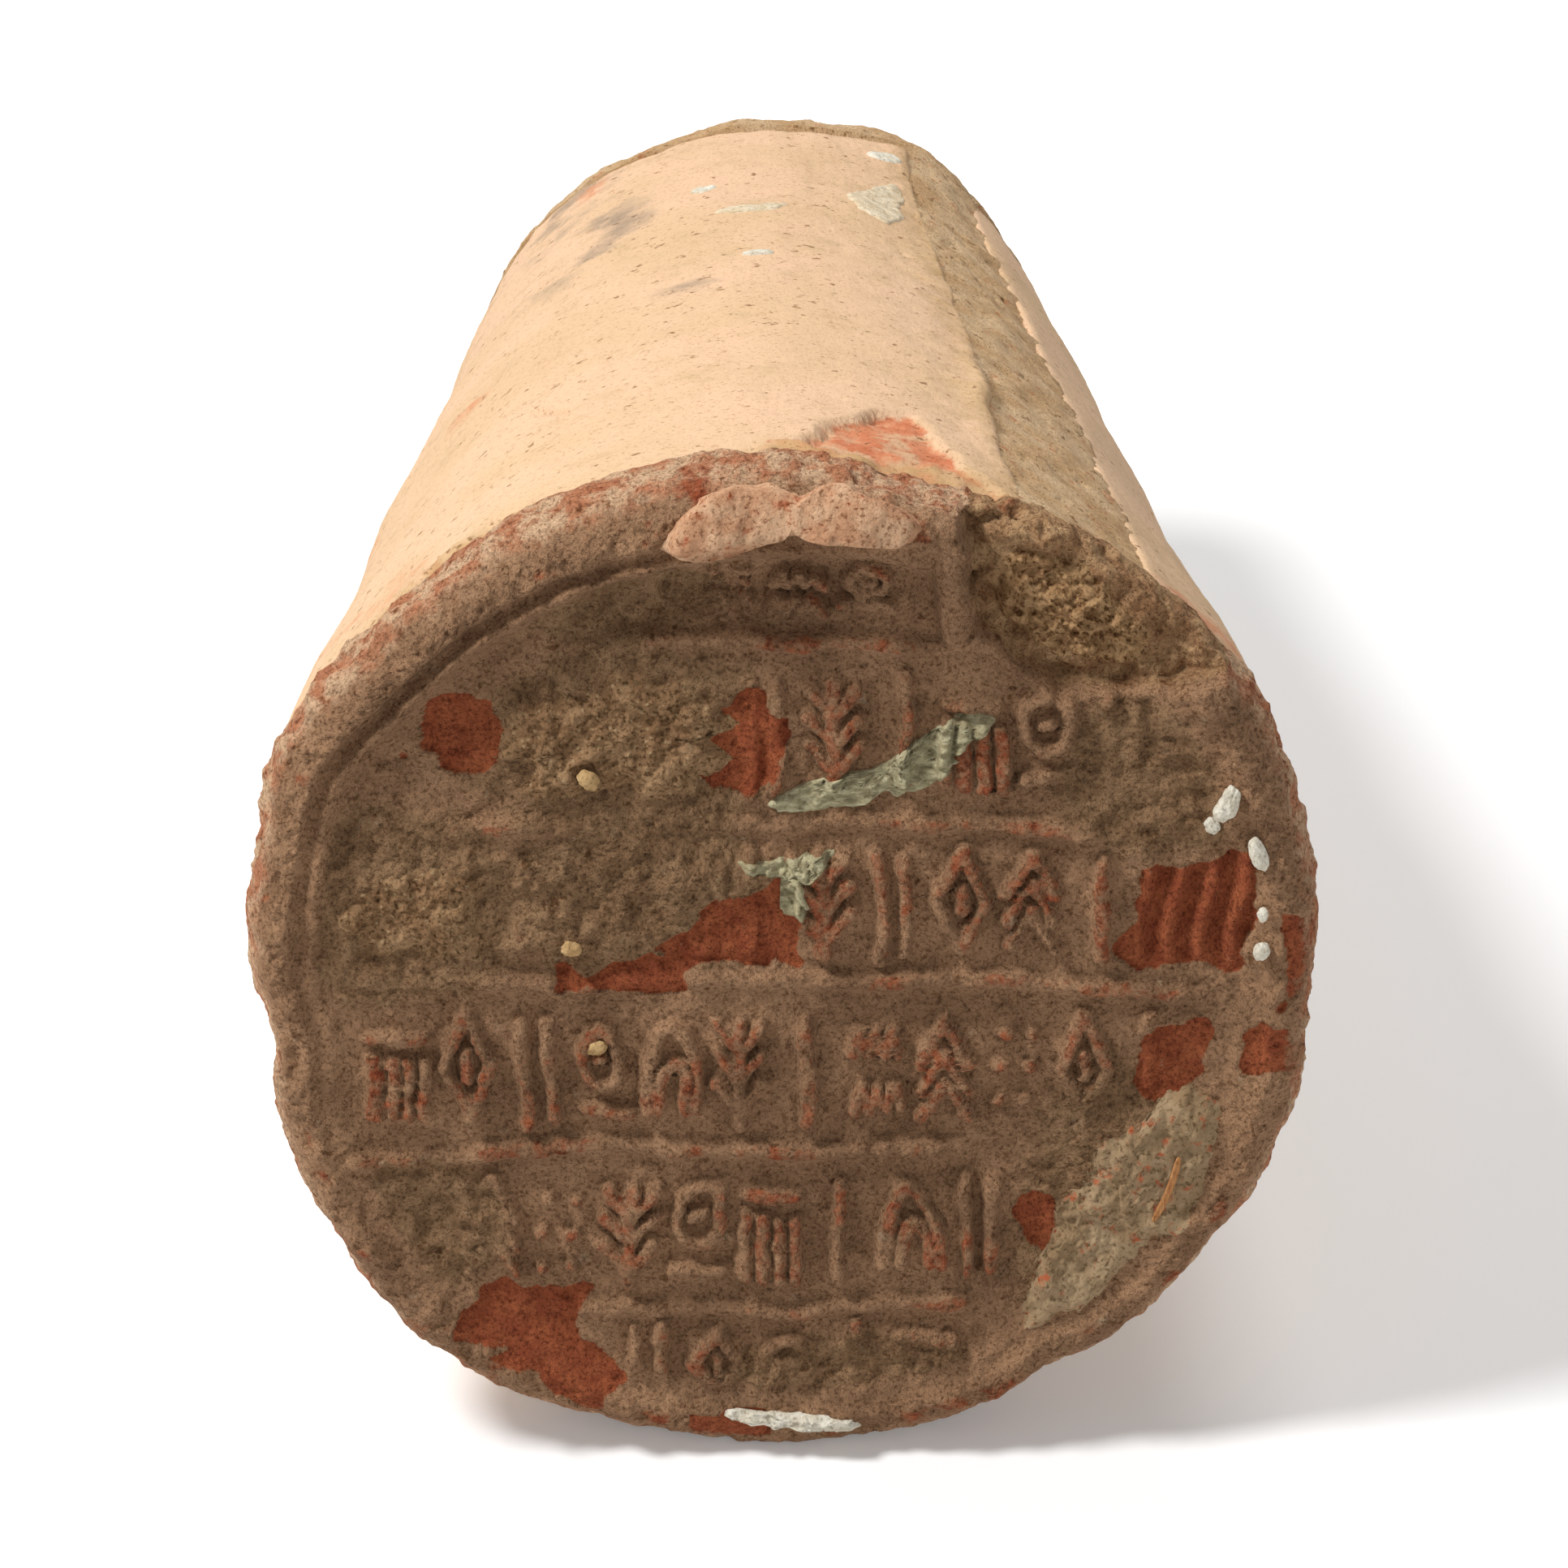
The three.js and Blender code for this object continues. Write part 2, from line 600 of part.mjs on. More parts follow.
// Mud that the burial left on the face
const CORNER_MUD = [
  [17.2, 35.5], [16.6, 31.5], [19, 28], [22.5, 26], [26.5, 25.8], [29.6, 27.4], [28.6, 31], [23.5, 35],
];
const UPPER_CRUST = [
  [-21.5, 16], [-13, 15.6], [-5.5, 16], [-3.4, 19], [-5, 23.5],
  [-9, 25.8], [-15.5, 26], [-20, 24], [-22, 20.5],
];
const LEFT_CRUST = [
  [-35, 2.4], [-29, 1.8], [-23.5, 2], [-22.4, 5], [-24.5, 10], [-29.5, 10.8], [-33.6, 9.8], [-35.6, 6],
];
const RIGHT_SMEAR = [
  [27.5, -13], [33.5, -9.5], [35.4, -13.5], [33.6, -20.5], [28.6, -26.5],
  [22, -31.5], [18.8, -31], [20.5, -24.5], [23, -18.5],
];
const CORNER_MUD_THICKNESS = 0.9;
const CRUST_THICKNESS = 0.7;
const SMEAR_THICKNESS = 0.8;
cone.add(
  piece("mud_in_broken_corner", "mud", faceDeposit(CORNER_MUD, CORNER_MUD_THICKNESS, breakPoint)),
  piece("mud_crust_upper", "mud", faceDeposit(UPPER_CRUST, CRUST_THICKNESS)),
  piece("mud_crust_left", "mud", faceDeposit(LEFT_CRUST, CRUST_THICKNESS)),
  piece("mud_smear_right", "mud", faceDeposit(RIGHT_SMEAR, SMEAR_THICKNESS)),
);

// A dried pale residue, brushed up across the second line and down below it
const RESIDUE_BLADE = [
  [-0.3, 14.8], [1.3, 16.4], [6, 17.9], [9.8, 19.9], [13.6, 22.1],
  [16, 21.4], [13.2, 18.4], [10.6, 16], [5.6, 14.9],
];
const RESIDUE_TONGUE = [
  [-3.7, 10], [-1.6, 11.2], [1.2, 11.7], [3.9, 11.3], [2.4, 8.4],
  [1.6, 5.8], [0.1, 4.5], [-0.7, 6.6], [-0.9, 8.8],
];
const RESIDUE_THICKNESS = 0.5;
cone.add(
  piece("residue_blade", "residue", faceDeposit(RESIDUE_BLADE, RESIDUE_THICKNESS)),
  piece("residue_tongue", "residue", faceDeposit(RESIDUE_TONGUE, RESIDUE_THICKNESS)),
);

// Plaster from the wall round the right edge, and a band of it along the bottom
const PLASTER_LUMPS = [
  { at: [35.2, 15.4], halfSizes: [0.9, 0.7, 1.6], turn: 18 },
  { at: [34, 13.2], halfSizes: [0.8, 0.4, 0.6], turn: 60 },
  { at: [37.6, 11.2], halfSizes: [0.7, 0.5, 1.5], turn: -14 },
  { at: [38.2, 5.8], halfSizes: [0.45, 0.35, 0.6], turn: 0 },
  { at: [38.1, 2.6], halfSizes: [0.7, 0.45, 0.8], turn: 30 },
];
// A dented ball reaches a little past its half size, so it is set that much further out.
const LUMP_REACH = 1.15;
PLASTER_LUMPS.forEach(({ at, halfSizes, turn }, i) => {
  const mesh = piece(`plaster_lump_${i + 1}`, "plaster", lump(halfSizes, 1.7 * i));
  cone.add(settled(mesh, facePoint(...at), LUMP_REACH * halfSizes[1], turn));
});
const PLASTER_BAND = [
  [-4.8, -38.9], [-1.5, -39.2], [2.5, -39.4], [6.3, -39.9],
  [6, -40.9], [2, -40.8], [-2.4, -40.3], [-5, -39.7],
];
const BAND_THICKNESS = 0.5;
cone.add(piece("plaster_band_bottom", "plaster", faceDeposit(PLASTER_BAND, BAND_THICKNESS)));

// Grits of limestone in the face, and a sliver of straw on the smear
const GRITS = [
  { at: [-17, 2.8], above: 0, halfSizes: [0.8, 0.5, 0.6], turn: 10 },
  { at: [-15.1, -5.9], above: 0, halfSizes: [1.1, 0.55, 0.7], turn: -15 },
  { at: [-15.5, 17.5], above: CRUST_THICKNESS + GAP, halfSizes: [0.9, 0.45, 0.8], turn: 40 },
];
GRITS.forEach(({ at, above, halfSizes, turn }, i) => {
  const mesh = piece(`limestone_grit_${i + 1}`, "limestone", lump(halfSizes, 4 + 2.1 * i));
  cone.add(settled(mesh, facePoint(...at, above), LUMP_REACH * halfSizes[1], turn));
});
const STRAW = { length: 6.2, width: 0.6, at: [30.9, -18.6], turn: 19 };
const straw = piece("straw_sliver", "straw", strawSliver(STRAW.length, STRAW.width));
cone.add(settled(straw, facePoint(...STRAW.at, SMEAR_THICKNESS + GAP), STRAW.width / 2, STRAW.turn));

// Lime on the upper side of the shaft, towards the tail: distance along the axis, then degrees round it
const LIME_WIDE = [[93.5, 71], [96, 76], [101, 77.4], [106, 73.5], [110.5, 68], [109, 66], [103, 66.5], [97, 67.5]];
const LIME_NARROW = [[91.5, 98.6], [93.6, 95], [95, 89], [94.4, 86], [92, 87], [90.4, 93]];
const LIME_FLECKS = [
  { at: [102, 100.6], halfSizes: [1.6, 2.6] },
  { at: [121, 67.6], halfSizes: [1.3, 3.2] },
  { at: [74, 92], halfSizes: [1, 2.6] },
];
const FLECK_OUTLINE = [[-1, 0.2], [-0.4, 1], [0.5, 0.8], [1, -0.1], [0.6, -0.9], [-0.5, -0.8]];
const LIME_THICKNESS = 0.4;
const FLECK_THICKNESS = 0.35;
cone.add(
  piece("lime_patch_wide", "lime", shaftDeposit(LIME_WIDE, LIME_THICKNESS)),
  piece("lime_patch_narrow", "lime", shaftDeposit(LIME_NARROW, LIME_THICKNESS)),
);
LIME_FLECKS.forEach(({ at: [along, around], halfSizes: [run, turn] }, i) => {
  const corners = FLECK_OUTLINE.map(([a, b]) => [along + a * run, around + b * turn]);
  cone.add(piece(`lime_fleck_${i + 1}`, "lime", shaftDeposit(corners, FLECK_THICKNESS)));
});

// Lay the cone down on its drying flat, with the origin under the middle of its box.
cone.rotation.x = -TILT;
cone.position.z = REST_HEIGHT;
const part = new THREE.Group();
part.add(cone);
part.updateMatrixWorld(true);
const middle = new THREE.Box3().setFromObject(part, true).getCenter(new THREE.Vector3());
cone.position.x = -middle.x;
cone.position.y = -middle.y;

export default part;
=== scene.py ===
import itertools
import math

import bmesh
import bpy
import numpy as np
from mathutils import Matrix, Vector


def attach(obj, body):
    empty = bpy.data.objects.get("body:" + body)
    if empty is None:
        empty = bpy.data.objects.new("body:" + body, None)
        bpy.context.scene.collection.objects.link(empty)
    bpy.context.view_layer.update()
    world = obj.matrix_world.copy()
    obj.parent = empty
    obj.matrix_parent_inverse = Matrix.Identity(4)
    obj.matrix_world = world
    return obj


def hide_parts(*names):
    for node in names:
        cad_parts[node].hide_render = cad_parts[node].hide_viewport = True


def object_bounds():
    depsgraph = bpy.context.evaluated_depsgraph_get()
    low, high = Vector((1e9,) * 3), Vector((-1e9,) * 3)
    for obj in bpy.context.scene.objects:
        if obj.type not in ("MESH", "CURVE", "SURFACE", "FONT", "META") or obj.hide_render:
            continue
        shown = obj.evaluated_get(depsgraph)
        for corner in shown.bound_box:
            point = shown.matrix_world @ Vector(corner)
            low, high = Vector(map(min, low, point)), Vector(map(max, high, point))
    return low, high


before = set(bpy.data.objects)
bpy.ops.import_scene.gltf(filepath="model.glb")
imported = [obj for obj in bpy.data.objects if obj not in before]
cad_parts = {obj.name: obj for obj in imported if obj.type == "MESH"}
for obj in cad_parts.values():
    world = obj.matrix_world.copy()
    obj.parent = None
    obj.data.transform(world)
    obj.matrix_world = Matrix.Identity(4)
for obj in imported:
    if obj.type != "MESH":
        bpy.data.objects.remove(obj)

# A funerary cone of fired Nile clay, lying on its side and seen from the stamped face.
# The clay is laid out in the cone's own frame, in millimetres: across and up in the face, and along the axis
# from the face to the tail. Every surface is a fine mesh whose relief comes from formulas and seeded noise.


def plain_box(box):
    return [[float(value) for value in corner] for corner in box]


CAD_BOX = plain_box(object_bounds())

# Driving dimensions of the clay, the same as the solids have
MM = 0.001
FACE_RADIUS = 44.0
TAIL_RADIUS = 26.7
LENGTH = 137.0
SHAFT_BELLY = 0.3
SHAFT_LEAN = -0.006
TAIL_ROUND = {"length": 8.0, "drop": 7.2}
TAIL_CROWN = 1.1
PAD_BACK = 7.3
RIM_ROLL = {"depth": 5.0, "drop": 3.5}
TOP_WEAR = {"at": 96.0, "spread": 30.0, "depth": 1.4, "drop": 1.0}
FIELD_DEPTH = 1.3
FIELD_SLANT = {"from": 2.0, "over": 30.0, "depth": 1.5}
FIELD_HOLLOW = {"across": -5.0, "up": 32.3, "width": 8.0, "height": 2.4, "depth": 1.8}
RIDGE_RADIUS = 38.6
RIDGE_WIDTH = 1.1
RIDGE_TOP_DEPTH = 0.1
RIDGE_INSIDE_CREST = 1.6
RIDGE_PROUD = {"at": 125.0, "spread": 55.0, "least": 0.5}
RIM_GROOVE = {"at": 135.0, "spread": 34.0, "least": 0.2, "more": 1.3}
COAT_THICKNESS = 1.6
COAT_END = 127.0
SEAM_AT = 62.5
SEAM_LIP = 0.5
SEAM_LAP = {"at": 38.0, "over": 22.0}
SEAM_BEND = {"at": 24.0, "over": 18.0, "by": 1.5}
COAT_STARTS_AT = 47.0
STRIP_DROP = 0.15
DRYING_CUT = 0.5
TILT = math.atan((FACE_RADIUS - TAIL_RADIUS) / LENGTH)
REST_HEIGHT = (FACE_RADIUS - DRYING_CUT) * math.cos(TILT)
# Where the middle of the face lies over the floor, counted from the middle of the object's box
FACE_CENTRE = {"x": 0.048, "y": -66.271}

# Where the hand left the clay proud or pressed it in: along, over, degrees round, spread, by how much
SWELLS = (
    (8, 24, 154, 9, 1.3), (4, 14, 188, 7, -1.3), (3, 16, 228, 17, 1.5), (3, 10, 239, 5, 0.6),
    (3, 10, 302, 5, -0.9), (3, 10, 324, 4, -0.6), (4, 12, 355, 8, -0.7), (10, 20, 33, 10, 1.2),
    (95, 8, 156, 15, -0.7), (62, 9, 156, 15, 0.5), (84, 9, 27, 14, -0.5), (52, 8, 27, 14, -0.5),
    (134, 14, 60, 15, 1.5), (132, 8, 112, 10, -0.5),
)
# The border of the stamp isn't a true circle: degrees round, spread, by how much
RIDGE_SHIFTS = ((86, 34, -1.2), (160, 18, 1.1), (328, 18, 1.1))


# Small shaping functions, on arrays
def ease(value):
    t = np.clip(value, 0.0, 1.0)
    return t * t * (3.0 - 2.0 * t)


def bump(distance, spread):
    return np.exp(-((distance / spread) ** 2))


def blend(first, second, share):
    return first + (second - first) * share


def turn_from(angle, other):
    return (angle - other + 180.0) % 360.0 - 180.0


def hashed(cells, seed):
    """A repeatable number from 0 to 1 for each whole-number cell."""
    c = cells.astype(np.int64)
    n = (c[..., 0] * 73856093) ^ (c[..., 1] * 19349663) ^ (c[..., 2] * 83492791) ^ (seed * 7919 + 12345)
    n = (n * 1274126177) & 0xFFFFFFFF
    n = ((n ^ (n >> 15)) * 2246822519) & 0xFFFFFFFF
    n = ((n ^ (n >> 13)) * 3266489917) & 0xFFFFFFFF
    return (n ^ (n >> 16)) / 4294967295.0


def smooth_noise(points, size, seed):
    scaled = points / size
    base = np.floor(scaled)
    share = scaled - base
    share = share ** 3 * (share * (share * 6.0 - 15.0) + 10.0)
    total = np.zeros(points.shape[:-1])
    for corner in itertools.product((0, 1), repeat=3):
        near = np.where(np.array(corner) == 1, share, 1.0 - share)
        total += near.prod(axis=-1) * hashed(base + corner, seed)
    return 2.0 * total - 1.0


def rough(points, size, octaves, seed, gain=0.5):
    """Layered noise from about -1 to 1, whose coarsest grain is `size` millimetres."""
    total = 0.0
    weight = 1.0
    whole = 0.0
    for octave in range(octaves):
        total = total + weight * smooth_noise(points + 17.3 * octave, size / 2 ** octave, seed + octave)
        whole += weight
        weight *= gain
    return 1.6 * total / whole


def scattered(points, size, seed, share, least, most):
    """Round spots with a radius from `least` to `most`, in a `share` of the cells: 1 inside, 0 outside."""
    scaled = points / size
    base = np.floor(scaled)
    result = np.zeros(points.shape[:-1])
    for offset in itertools.product((-1, 0, 1), repeat=3):
        cell = base + offset
        jitter = np.stack([hashed(cell, seed + k) for k in range(3)], axis=-1)
        distance = np.linalg.norm(cell + jitter - scaled, axis=-1) * size
        radius = blend(least, most, hashed(cell, seed + 3) ** 2)
        chosen = hashed(cell, seed + 4) < share
        result = np.maximum(result, np.where(chosen, ease(1.6 * (1.0 - distance / radius)), 0.0))
    return result


def inside_outline(across, up, outline):
    """Signed distance to a closed outline, in millimetres: positive inside."""
    across, up = np.broadcast_arrays(across, up)
    corners = np.array(outline, dtype=float)
    nearest = np.full(across.shape, 1e9)
    inside = np.zeros(across.shape, dtype=bool)
    for (ax, ay), (bx, by) in zip(corners, np.roll(corners, -1, axis=0)):
        dx, dy = bx - ax, by - ay
        t = np.clip(((across - ax) * dx + (up - ay) * dy) / (dx * dx + dy * dy), 0.0, 1.0)
        nearest = np.minimum(nearest, np.hypot(across - ax - t * dx, up - ay - t * dy))
        crosses = (ay > up) != (by > up)
        if by != ay:
            inside ^= crosses & (across < ax + (up - ay) * dx / dy)
    return np.where(inside, nearest, -nearest)


def from_path(across, up, path):
    """Distance to an open path, and the share of the way along it."""
    across, up = np.broadcast_arrays(across, up)
    nearest = np.full(across.shape, 1e9)
    share = np.zeros(across.shape)
    steps = len(path) - 1
    for i in range(steps):
        (ax, ay), (bx, by) = path[i][:2], path[i + 1][:2]
        dx, dy = bx - ax, by - ay
        t = np.clip(((across - ax) * dx + (up - ay) * dy) / (dx * dx + dy * dy), 0.0, 1.0)
        distance = np.hypot(across - ax - t * dx, up - ay - t * dy)
        closer = distance < nearest
        nearest = np.where(closer, distance, nearest)
        share = np.where(closer, (i + t) / steps, share)
    return nearest, share


def smooth_path(corners, count, closed=False):
    """A Catmull-Rom curve through the corners."""
    points = np.array(corners, dtype=float)
    if closed:
        padded = np.concatenate([points[-1:], points, points[:2]])
    else:
        padded = np.concatenate([[2 * points[0] - points[1]], points, [2 * points[-1] - points[-2]]])
    spans = len(padded) - 3
    place = spans * np.arange(count) / (count if closed else count - 1)
    k = np.minimum(place.astype(int), spans - 1)
    t = (place - k)[:, None]
    a, b, c, d = (padded[k + step] for step in range(4))
    curved = (2 * a - 5 * b + 4 * c - d) * t ** 2 + (3 * b - a - 3 * c + d) * t ** 3
    return 0.5 * (2 * b + (c - a) * t + curved)


# The shaft, and the rim that rolls from it into the face
def shaft_radius(along, around):
    share = along / LENGTH
    radius = blend(FACE_RADIUS, TAIL_RADIUS, share) + SHAFT_BELLY * np.sin(np.pi * np.clip(share, 0, 1))
    for at_along, over, at, spread, by in SWELLS:
        radius = radius + by * bump(along - at_along, over) * bump(turn_from(around, at), spread)
    end = np.clip((along - LENGTH + TAIL_ROUND["length"]) / TAIL_ROUND["length"], 0.0, 1.0)
    return radius - TAIL_ROUND["drop"] * (1.0 - np.sqrt(1.0 - end * end))


def on_shaft(along, around, height=0.0):
    radius = shaft_radius(along, around) + height
    angle = np.radians(around)
    return np.stack([radius * np.cos(angle) + SHAFT_LEAN * along, along + 0.0 * angle,
                     radius * np.sin(angle)], axis=-1)


def rim_roll(around):
    wear = bump(turn_from(around, TOP_WEAR["at"]), TOP_WEAR["spread"])
    depth = RIM_ROLL["depth"] + TOP_WEAR["depth"] * wear
    drop = RIM_ROLL["drop"] + TOP_WEAR["drop"] * wear
    return depth, drop, shaft_radius(depth, around) - drop


def ridge_radius(around):
    radius = RIDGE_RADIUS
    for at, spread, by in RIDGE_SHIFTS:
        radius = radius + by * bump(turn_from(around, at), spread)
    return np.minimum(radius, rim_roll(around)[2] - RIDGE_INSIDE_CREST)


def front_depth(across, up):
    """How far the plain front of the pad lies behind the plane of the rim's crest."""
    reach = np.hypot(across, up)
    around = np.degrees(np.arctan2(up, across))
    roll_depth, roll_drop, crest = rim_roll(around)
    ridge = ridge_radius(around)
    hollow = FIELD_HOLLOW["depth"] * bump(across - FIELD_HOLLOW["across"], FIELD_HOLLOW["width"])
    hollow = hollow * bump(up - FIELD_HOLLOW["up"], FIELD_HOLLOW["height"])
    slant = FIELD_SLANT["depth"] * ease((up - FIELD_SLANT["from"]) / FIELD_SLANT["over"])
    field = FIELD_DEPTH + slant + hollow
    near = bump(turn_from(around, RIDGE_PROUD["at"]), RIDGE_PROUD["spread"])
    ridge_depth = blend(field, RIDGE_TOP_DEPTH, blend(RIDGE_PROUD["least"], 1.0, near))
    inner = blend(field, ridge_depth, bump(ridge - reach, RIDGE_WIDTH))
    band = np.clip((reach - ridge) / (crest - ridge), 0.0, 1.0)
    groove = RIM_GROOVE["more"] * bump(turn_from(around, RIM_GROOVE["at"]), RIM_GROOVE["spread"])
    outer = blend(ridge_depth, 0.0, band) + (RIM_GROOVE["least"] + groove) * np.sin(np.pi * band)
    over = np.clip((reach - crest) / roll_drop, 0.0, 1.0)
    rolled = roll_depth * (1.0 - np.sqrt(1.0 - over * over))
    return np.where(reach < ridge, inner, np.where(reach > crest, rolled, outer))


# Ruled lines between the rows of the stamp
RULED_LINES = (
    ((-17.6, 28.4), (0, 28.6), (17, 28.5)),
    ((-29, 13.1), (-14, 13.5), (4, 13.4), (20, 13), (33, 12.6)),
    ((-30, -0.5), (-12, -0.2), (6, -0.2), (24, -0.8), (35, -2.5)),
    ((-35.9, -16.5), (-26, -15.9), (-16, -14.6), (-4, -15.4), (16.2, -15.3)),
    ((-20.3, -29.6), (-2, -29.9), (16, -29.6)),
)
LINE_HALF_WIDTH = 0.85
LINE_FLAT_TOP = 0.25
LINE_HEIGHT = 1.0
LINE_WORN_TO = 0.55
# How steeply a line rises from its ends, by the share of its length
LINE_ENDS = 20.0
LINE_STEPS = 24


# Generic marks, which spell nothing: the strokes of each for half its width and half its height
MARKS = {
    "arcs": lambda w, h: [[(s * w * math.cos(t), -0.8 * h + 1.6 * s * h * math.sin(t))
                           for t in np.linspace(0, np.pi, 9)] for s in (1.0, 0.55)],
    "bar": lambda w, h: [[(0, -h), (0.1 * w, 0), (0, h)]],
    "chevrons": lambda w, h: [[(-w, -0.9 * h + lift), (0, -0.1 * h + lift), (w, -0.9 * h + lift)]
                              for lift in (0, 0.55 * h, 1.1 * h)],
    "comb": lambda w, h: [[(-w, 0.7 * h), (w, 0.7 * h)]] + [
        [(x * w, -0.9 * h), (x * w, 0.25 * h)] for x in (-1, -0.33, 0.33, 1)],
    "cross": lambda w, h: [[(-w, -0.6 * h), (w, 0.7 * h)], [(-w, 0.7 * h), (w, -0.6 * h)]],
    "dots": lambda w, h: [[(x * w, y * h), (x * w + 0.1, y * h)]
                          for x in (-0.55, 0.55) for y in (-0.7, 0, 0.7)],
    "lozenge": lambda w, h: [[(0, -h), (w, 0), (0, h), (-w, 0), (0, -h)], [(0, -0.25 * h), (0, 0.25 * h)]],
    "pair": lambda w, h: [[(-0.5 * w, -h), (-0.5 * w, h)], [(0.5 * w, -0.9 * h), (0.55 * w, h)]],
    "ring": lambda w, h: [[(w * 0.85 * math.cos(t), 0.25 * h + 0.55 * h * math.sin(t))
                           for t in np.linspace(0, 2 * np.pi, 13)],
                          [(-0.15 * w, 0.25 * h), (0.15 * w, 0.25 * h)], [(-w, -0.8 * h), (w, -0.8 * h)]],
    "spray": lambda w, h: [[(0, -h), (0, h)]] + [
        [(0, y * h), (s * w, (y + 0.55) * h)] for y in (-0.7, -0.15, 0.4) for s in (-1, 1)],
    "zigzag": lambda w, h: [[(x, y + (0.22 * h if i % 2 else -0.22 * h))
                             for i, x in enumerate(np.linspace(-w, w, 7))] for y in (-0.6 * h, 0.5 * h)],
}
# Rows of marks: the middle height, half the height, the left end, the step, and the marks in order
MARK_ROWS = (
    (33.2, 2.1, -4.0, 5.2, "dots zigzag ring"),
    (20.8, 4.9, -19.0, 5.7, "bar dots chevrons pair spray bar comb ring pair"),
    (6.4, 4.7, -25.0, 5.6, "dots zigzag cross arcs bar spray pair lozenge chevrons bar"),
    (-8.2, 4.9, -31.0, 5.5, "comb lozenge pair ring arcs spray bar zigzag chevrons dots lozenge bar"),
    (-22.6, 4.9, -24.0, 5.7, "chevrons dots spray ring comb bar arcs pair bar"),
    (-34.2, 2.6, -11.0, 5.6, "pair lozenge arcs bar comb"),
)
MARK_HEIGHT = 1.15
MARK_HALF_WIDTH = 0.52
MARK_FLAT_TOP = 0.3
# Half a mark's width as a share of the step, and half its height as a share of half the row
MARK_FILL = {"across": 0.36, "up": 0.92}
# Each mark sits a little higher or lower in its row
MARK_WAVER = {"by": 0.4, "turn": 2.1}
ROW_MARGIN = 1.5


def marks_relief(across, up):
    relief = np.zeros(across.shape)
    for row, (middle, half, left, step, marks) in enumerate(MARK_ROWS):
        near_row = np.abs(up - middle) < half + ROW_MARGIN
        for i, name in enumerate(marks.split()):
            at = left + step * i
            near = near_row & (np.abs(across - at) < step)
            if not near.any():
                continue
            x = across[near] - at
            y = up[near] - middle + MARK_WAVER["by"] * math.sin(MARK_WAVER["turn"] * i + row)
            best = np.zeros(x.shape)
            for stroke in MARKS[name](MARK_FILL["across"] * step, MARK_FILL["up"] * half):
                distance, _ = from_path(x, y, stroke)
                best = np.maximum(best, 1.0 - ease((distance - MARK_FLAT_TOP) / MARK_HALF_WIDTH))
            relief[near] = np.maximum(relief[near], best)
    return relief


# Features of the face: flaked red patches, the broken corner, the bead squeezed out beside it
RED_FLAKES = (
    ((-28.5, 24.1), (-23.4, 23.3), (-22.2, 20.5), (-24.1, 18.1), (-29.9, 18.8)),
    ((27, 1.2), (28, 9.6), (37.6, 10.3), (38.4, 4), (36, 0.6), (30, 0.2)),
    ((28.3, -4.1), (33.6, -4.6), (34.2, -9), (30.6, -11), (28.6, -9.6)),
    ((37.1, -4.5), (40.1, -4.7), (40.3, -8), (37.4, -8.5)),
    ((-27, -32.4), (-18.4, -34.7), (-16.3, -28), (-24.3, -27.9)),
    ((-24, -34), (-16, -39), (-13, -36), (-18.4, -31)),
    ((-8, -38.9), (-0.5, -39.3), (-0.5, -42), (-8, -42)),
    ((39, 7), (42.3, 5), (42.8, -3), (40, -2.5)),
    ((-6.5, 15.5), (-6, 21), (-2.5, 24.5), (0.2, 22), (-1, 17)),
    ((-9, 0.8), (-9.5, 2.6), (-4.8, 7.8), (0.4, 7.9), (1.4, 1.2)),
    ((19.2, -19.6), (21.6, -20.2), (21.4, -24.4), (19.4, -23.6)),
    ((-18, -1.2), (-18, 0.8), (-9, 1.4), (-8, -1)),
)
BREAK_OUTLINE = (
    (14.2, 39.5), (14.3, 32.8), (15.9, 29.4), (18.2, 26.5), (22, 23.8), (26.5, 23.4),
    (31, 24.6), (36, 26), (37.5, 31), (31, 38), (23, 43.5), (16, 45.5),
)
BREAK_DEEPEST = {"across": 15.0, "up": 29.5}
BREAK_DEPTH = 4.7
BREAK_RISE = 2.6
BREAK_RUN = 22.0
BREAK_OUTWARD = {"across": 0.75, "up": 0.66}
BEAD_PATH = (
    (12.4, 38.6, 0.9), (12.9, 36, 1.2), (13.2, 34, 1.35), (13.6, 32, 1.55), (13.6, 30.6, 1.45),
    (13.5, 29.6, 1.0),
)
BEAD_DEPTH = 1.6
# Where mud lies thickest: across, up, and the half sizes of the soft oval
MUD_REGIONS = (
    (-13, 20, 13, 10), (-12, 7, 12, 8), (-31, 6, 12, 9), (-14, 32, 10, 4), (28, -22, 10, 15), (30, 17, 9, 8),
    (-30, -22, 8, 6), (7, -36, 12, 4),
)
ROUND_PITS = ((27.4, 34.6, 0.9), (25.6, 35.4, 0.7), (31.6, 31.2, 0.7), (18.6, 34.2, 0.8), (14.6, 33.8, 0.5))


def break_floor(across, up):
    aside = BREAK_OUTWARD["across"] * (across - BREAK_DEEPEST["across"])
    above = BREAK_OUTWARD["up"] * (up - BREAK_DEEPEST["up"])
    return BREAK_DEPTH - BREAK_RISE * np.clip((aside + above) / BREAK_RUN, -0.1, 1.4)


# Noise on the face: size of its coarsest grain, layers, seed, and how fast layers fade where it isn't 0.5
FACE_GRAIN = {
    "sway_across": (6.0, 2, 11), "shiver_across": (1.2, 2, 13), "sway_up": (6.0, 2, 21),
    "shiver_up": (1.2, 2, 23), "line_wear": (7.0, 2, 31), "mud_patches": (9.0, 4, 41),
    "mud_bumps": (3.5, 4, 51), "grit": (2.2, 4, 61, 0.7), "flake_edge": (2.6, 3, 91),
    "break_edge": (3.0, 3, 101), "clods": (3.4, 4, 111, 0.6), "crumbs": (1.1, 2, 113),
    "mark_wear": (4.0, 3, 131), "rim_wear": (3.5, 4, 141),
}
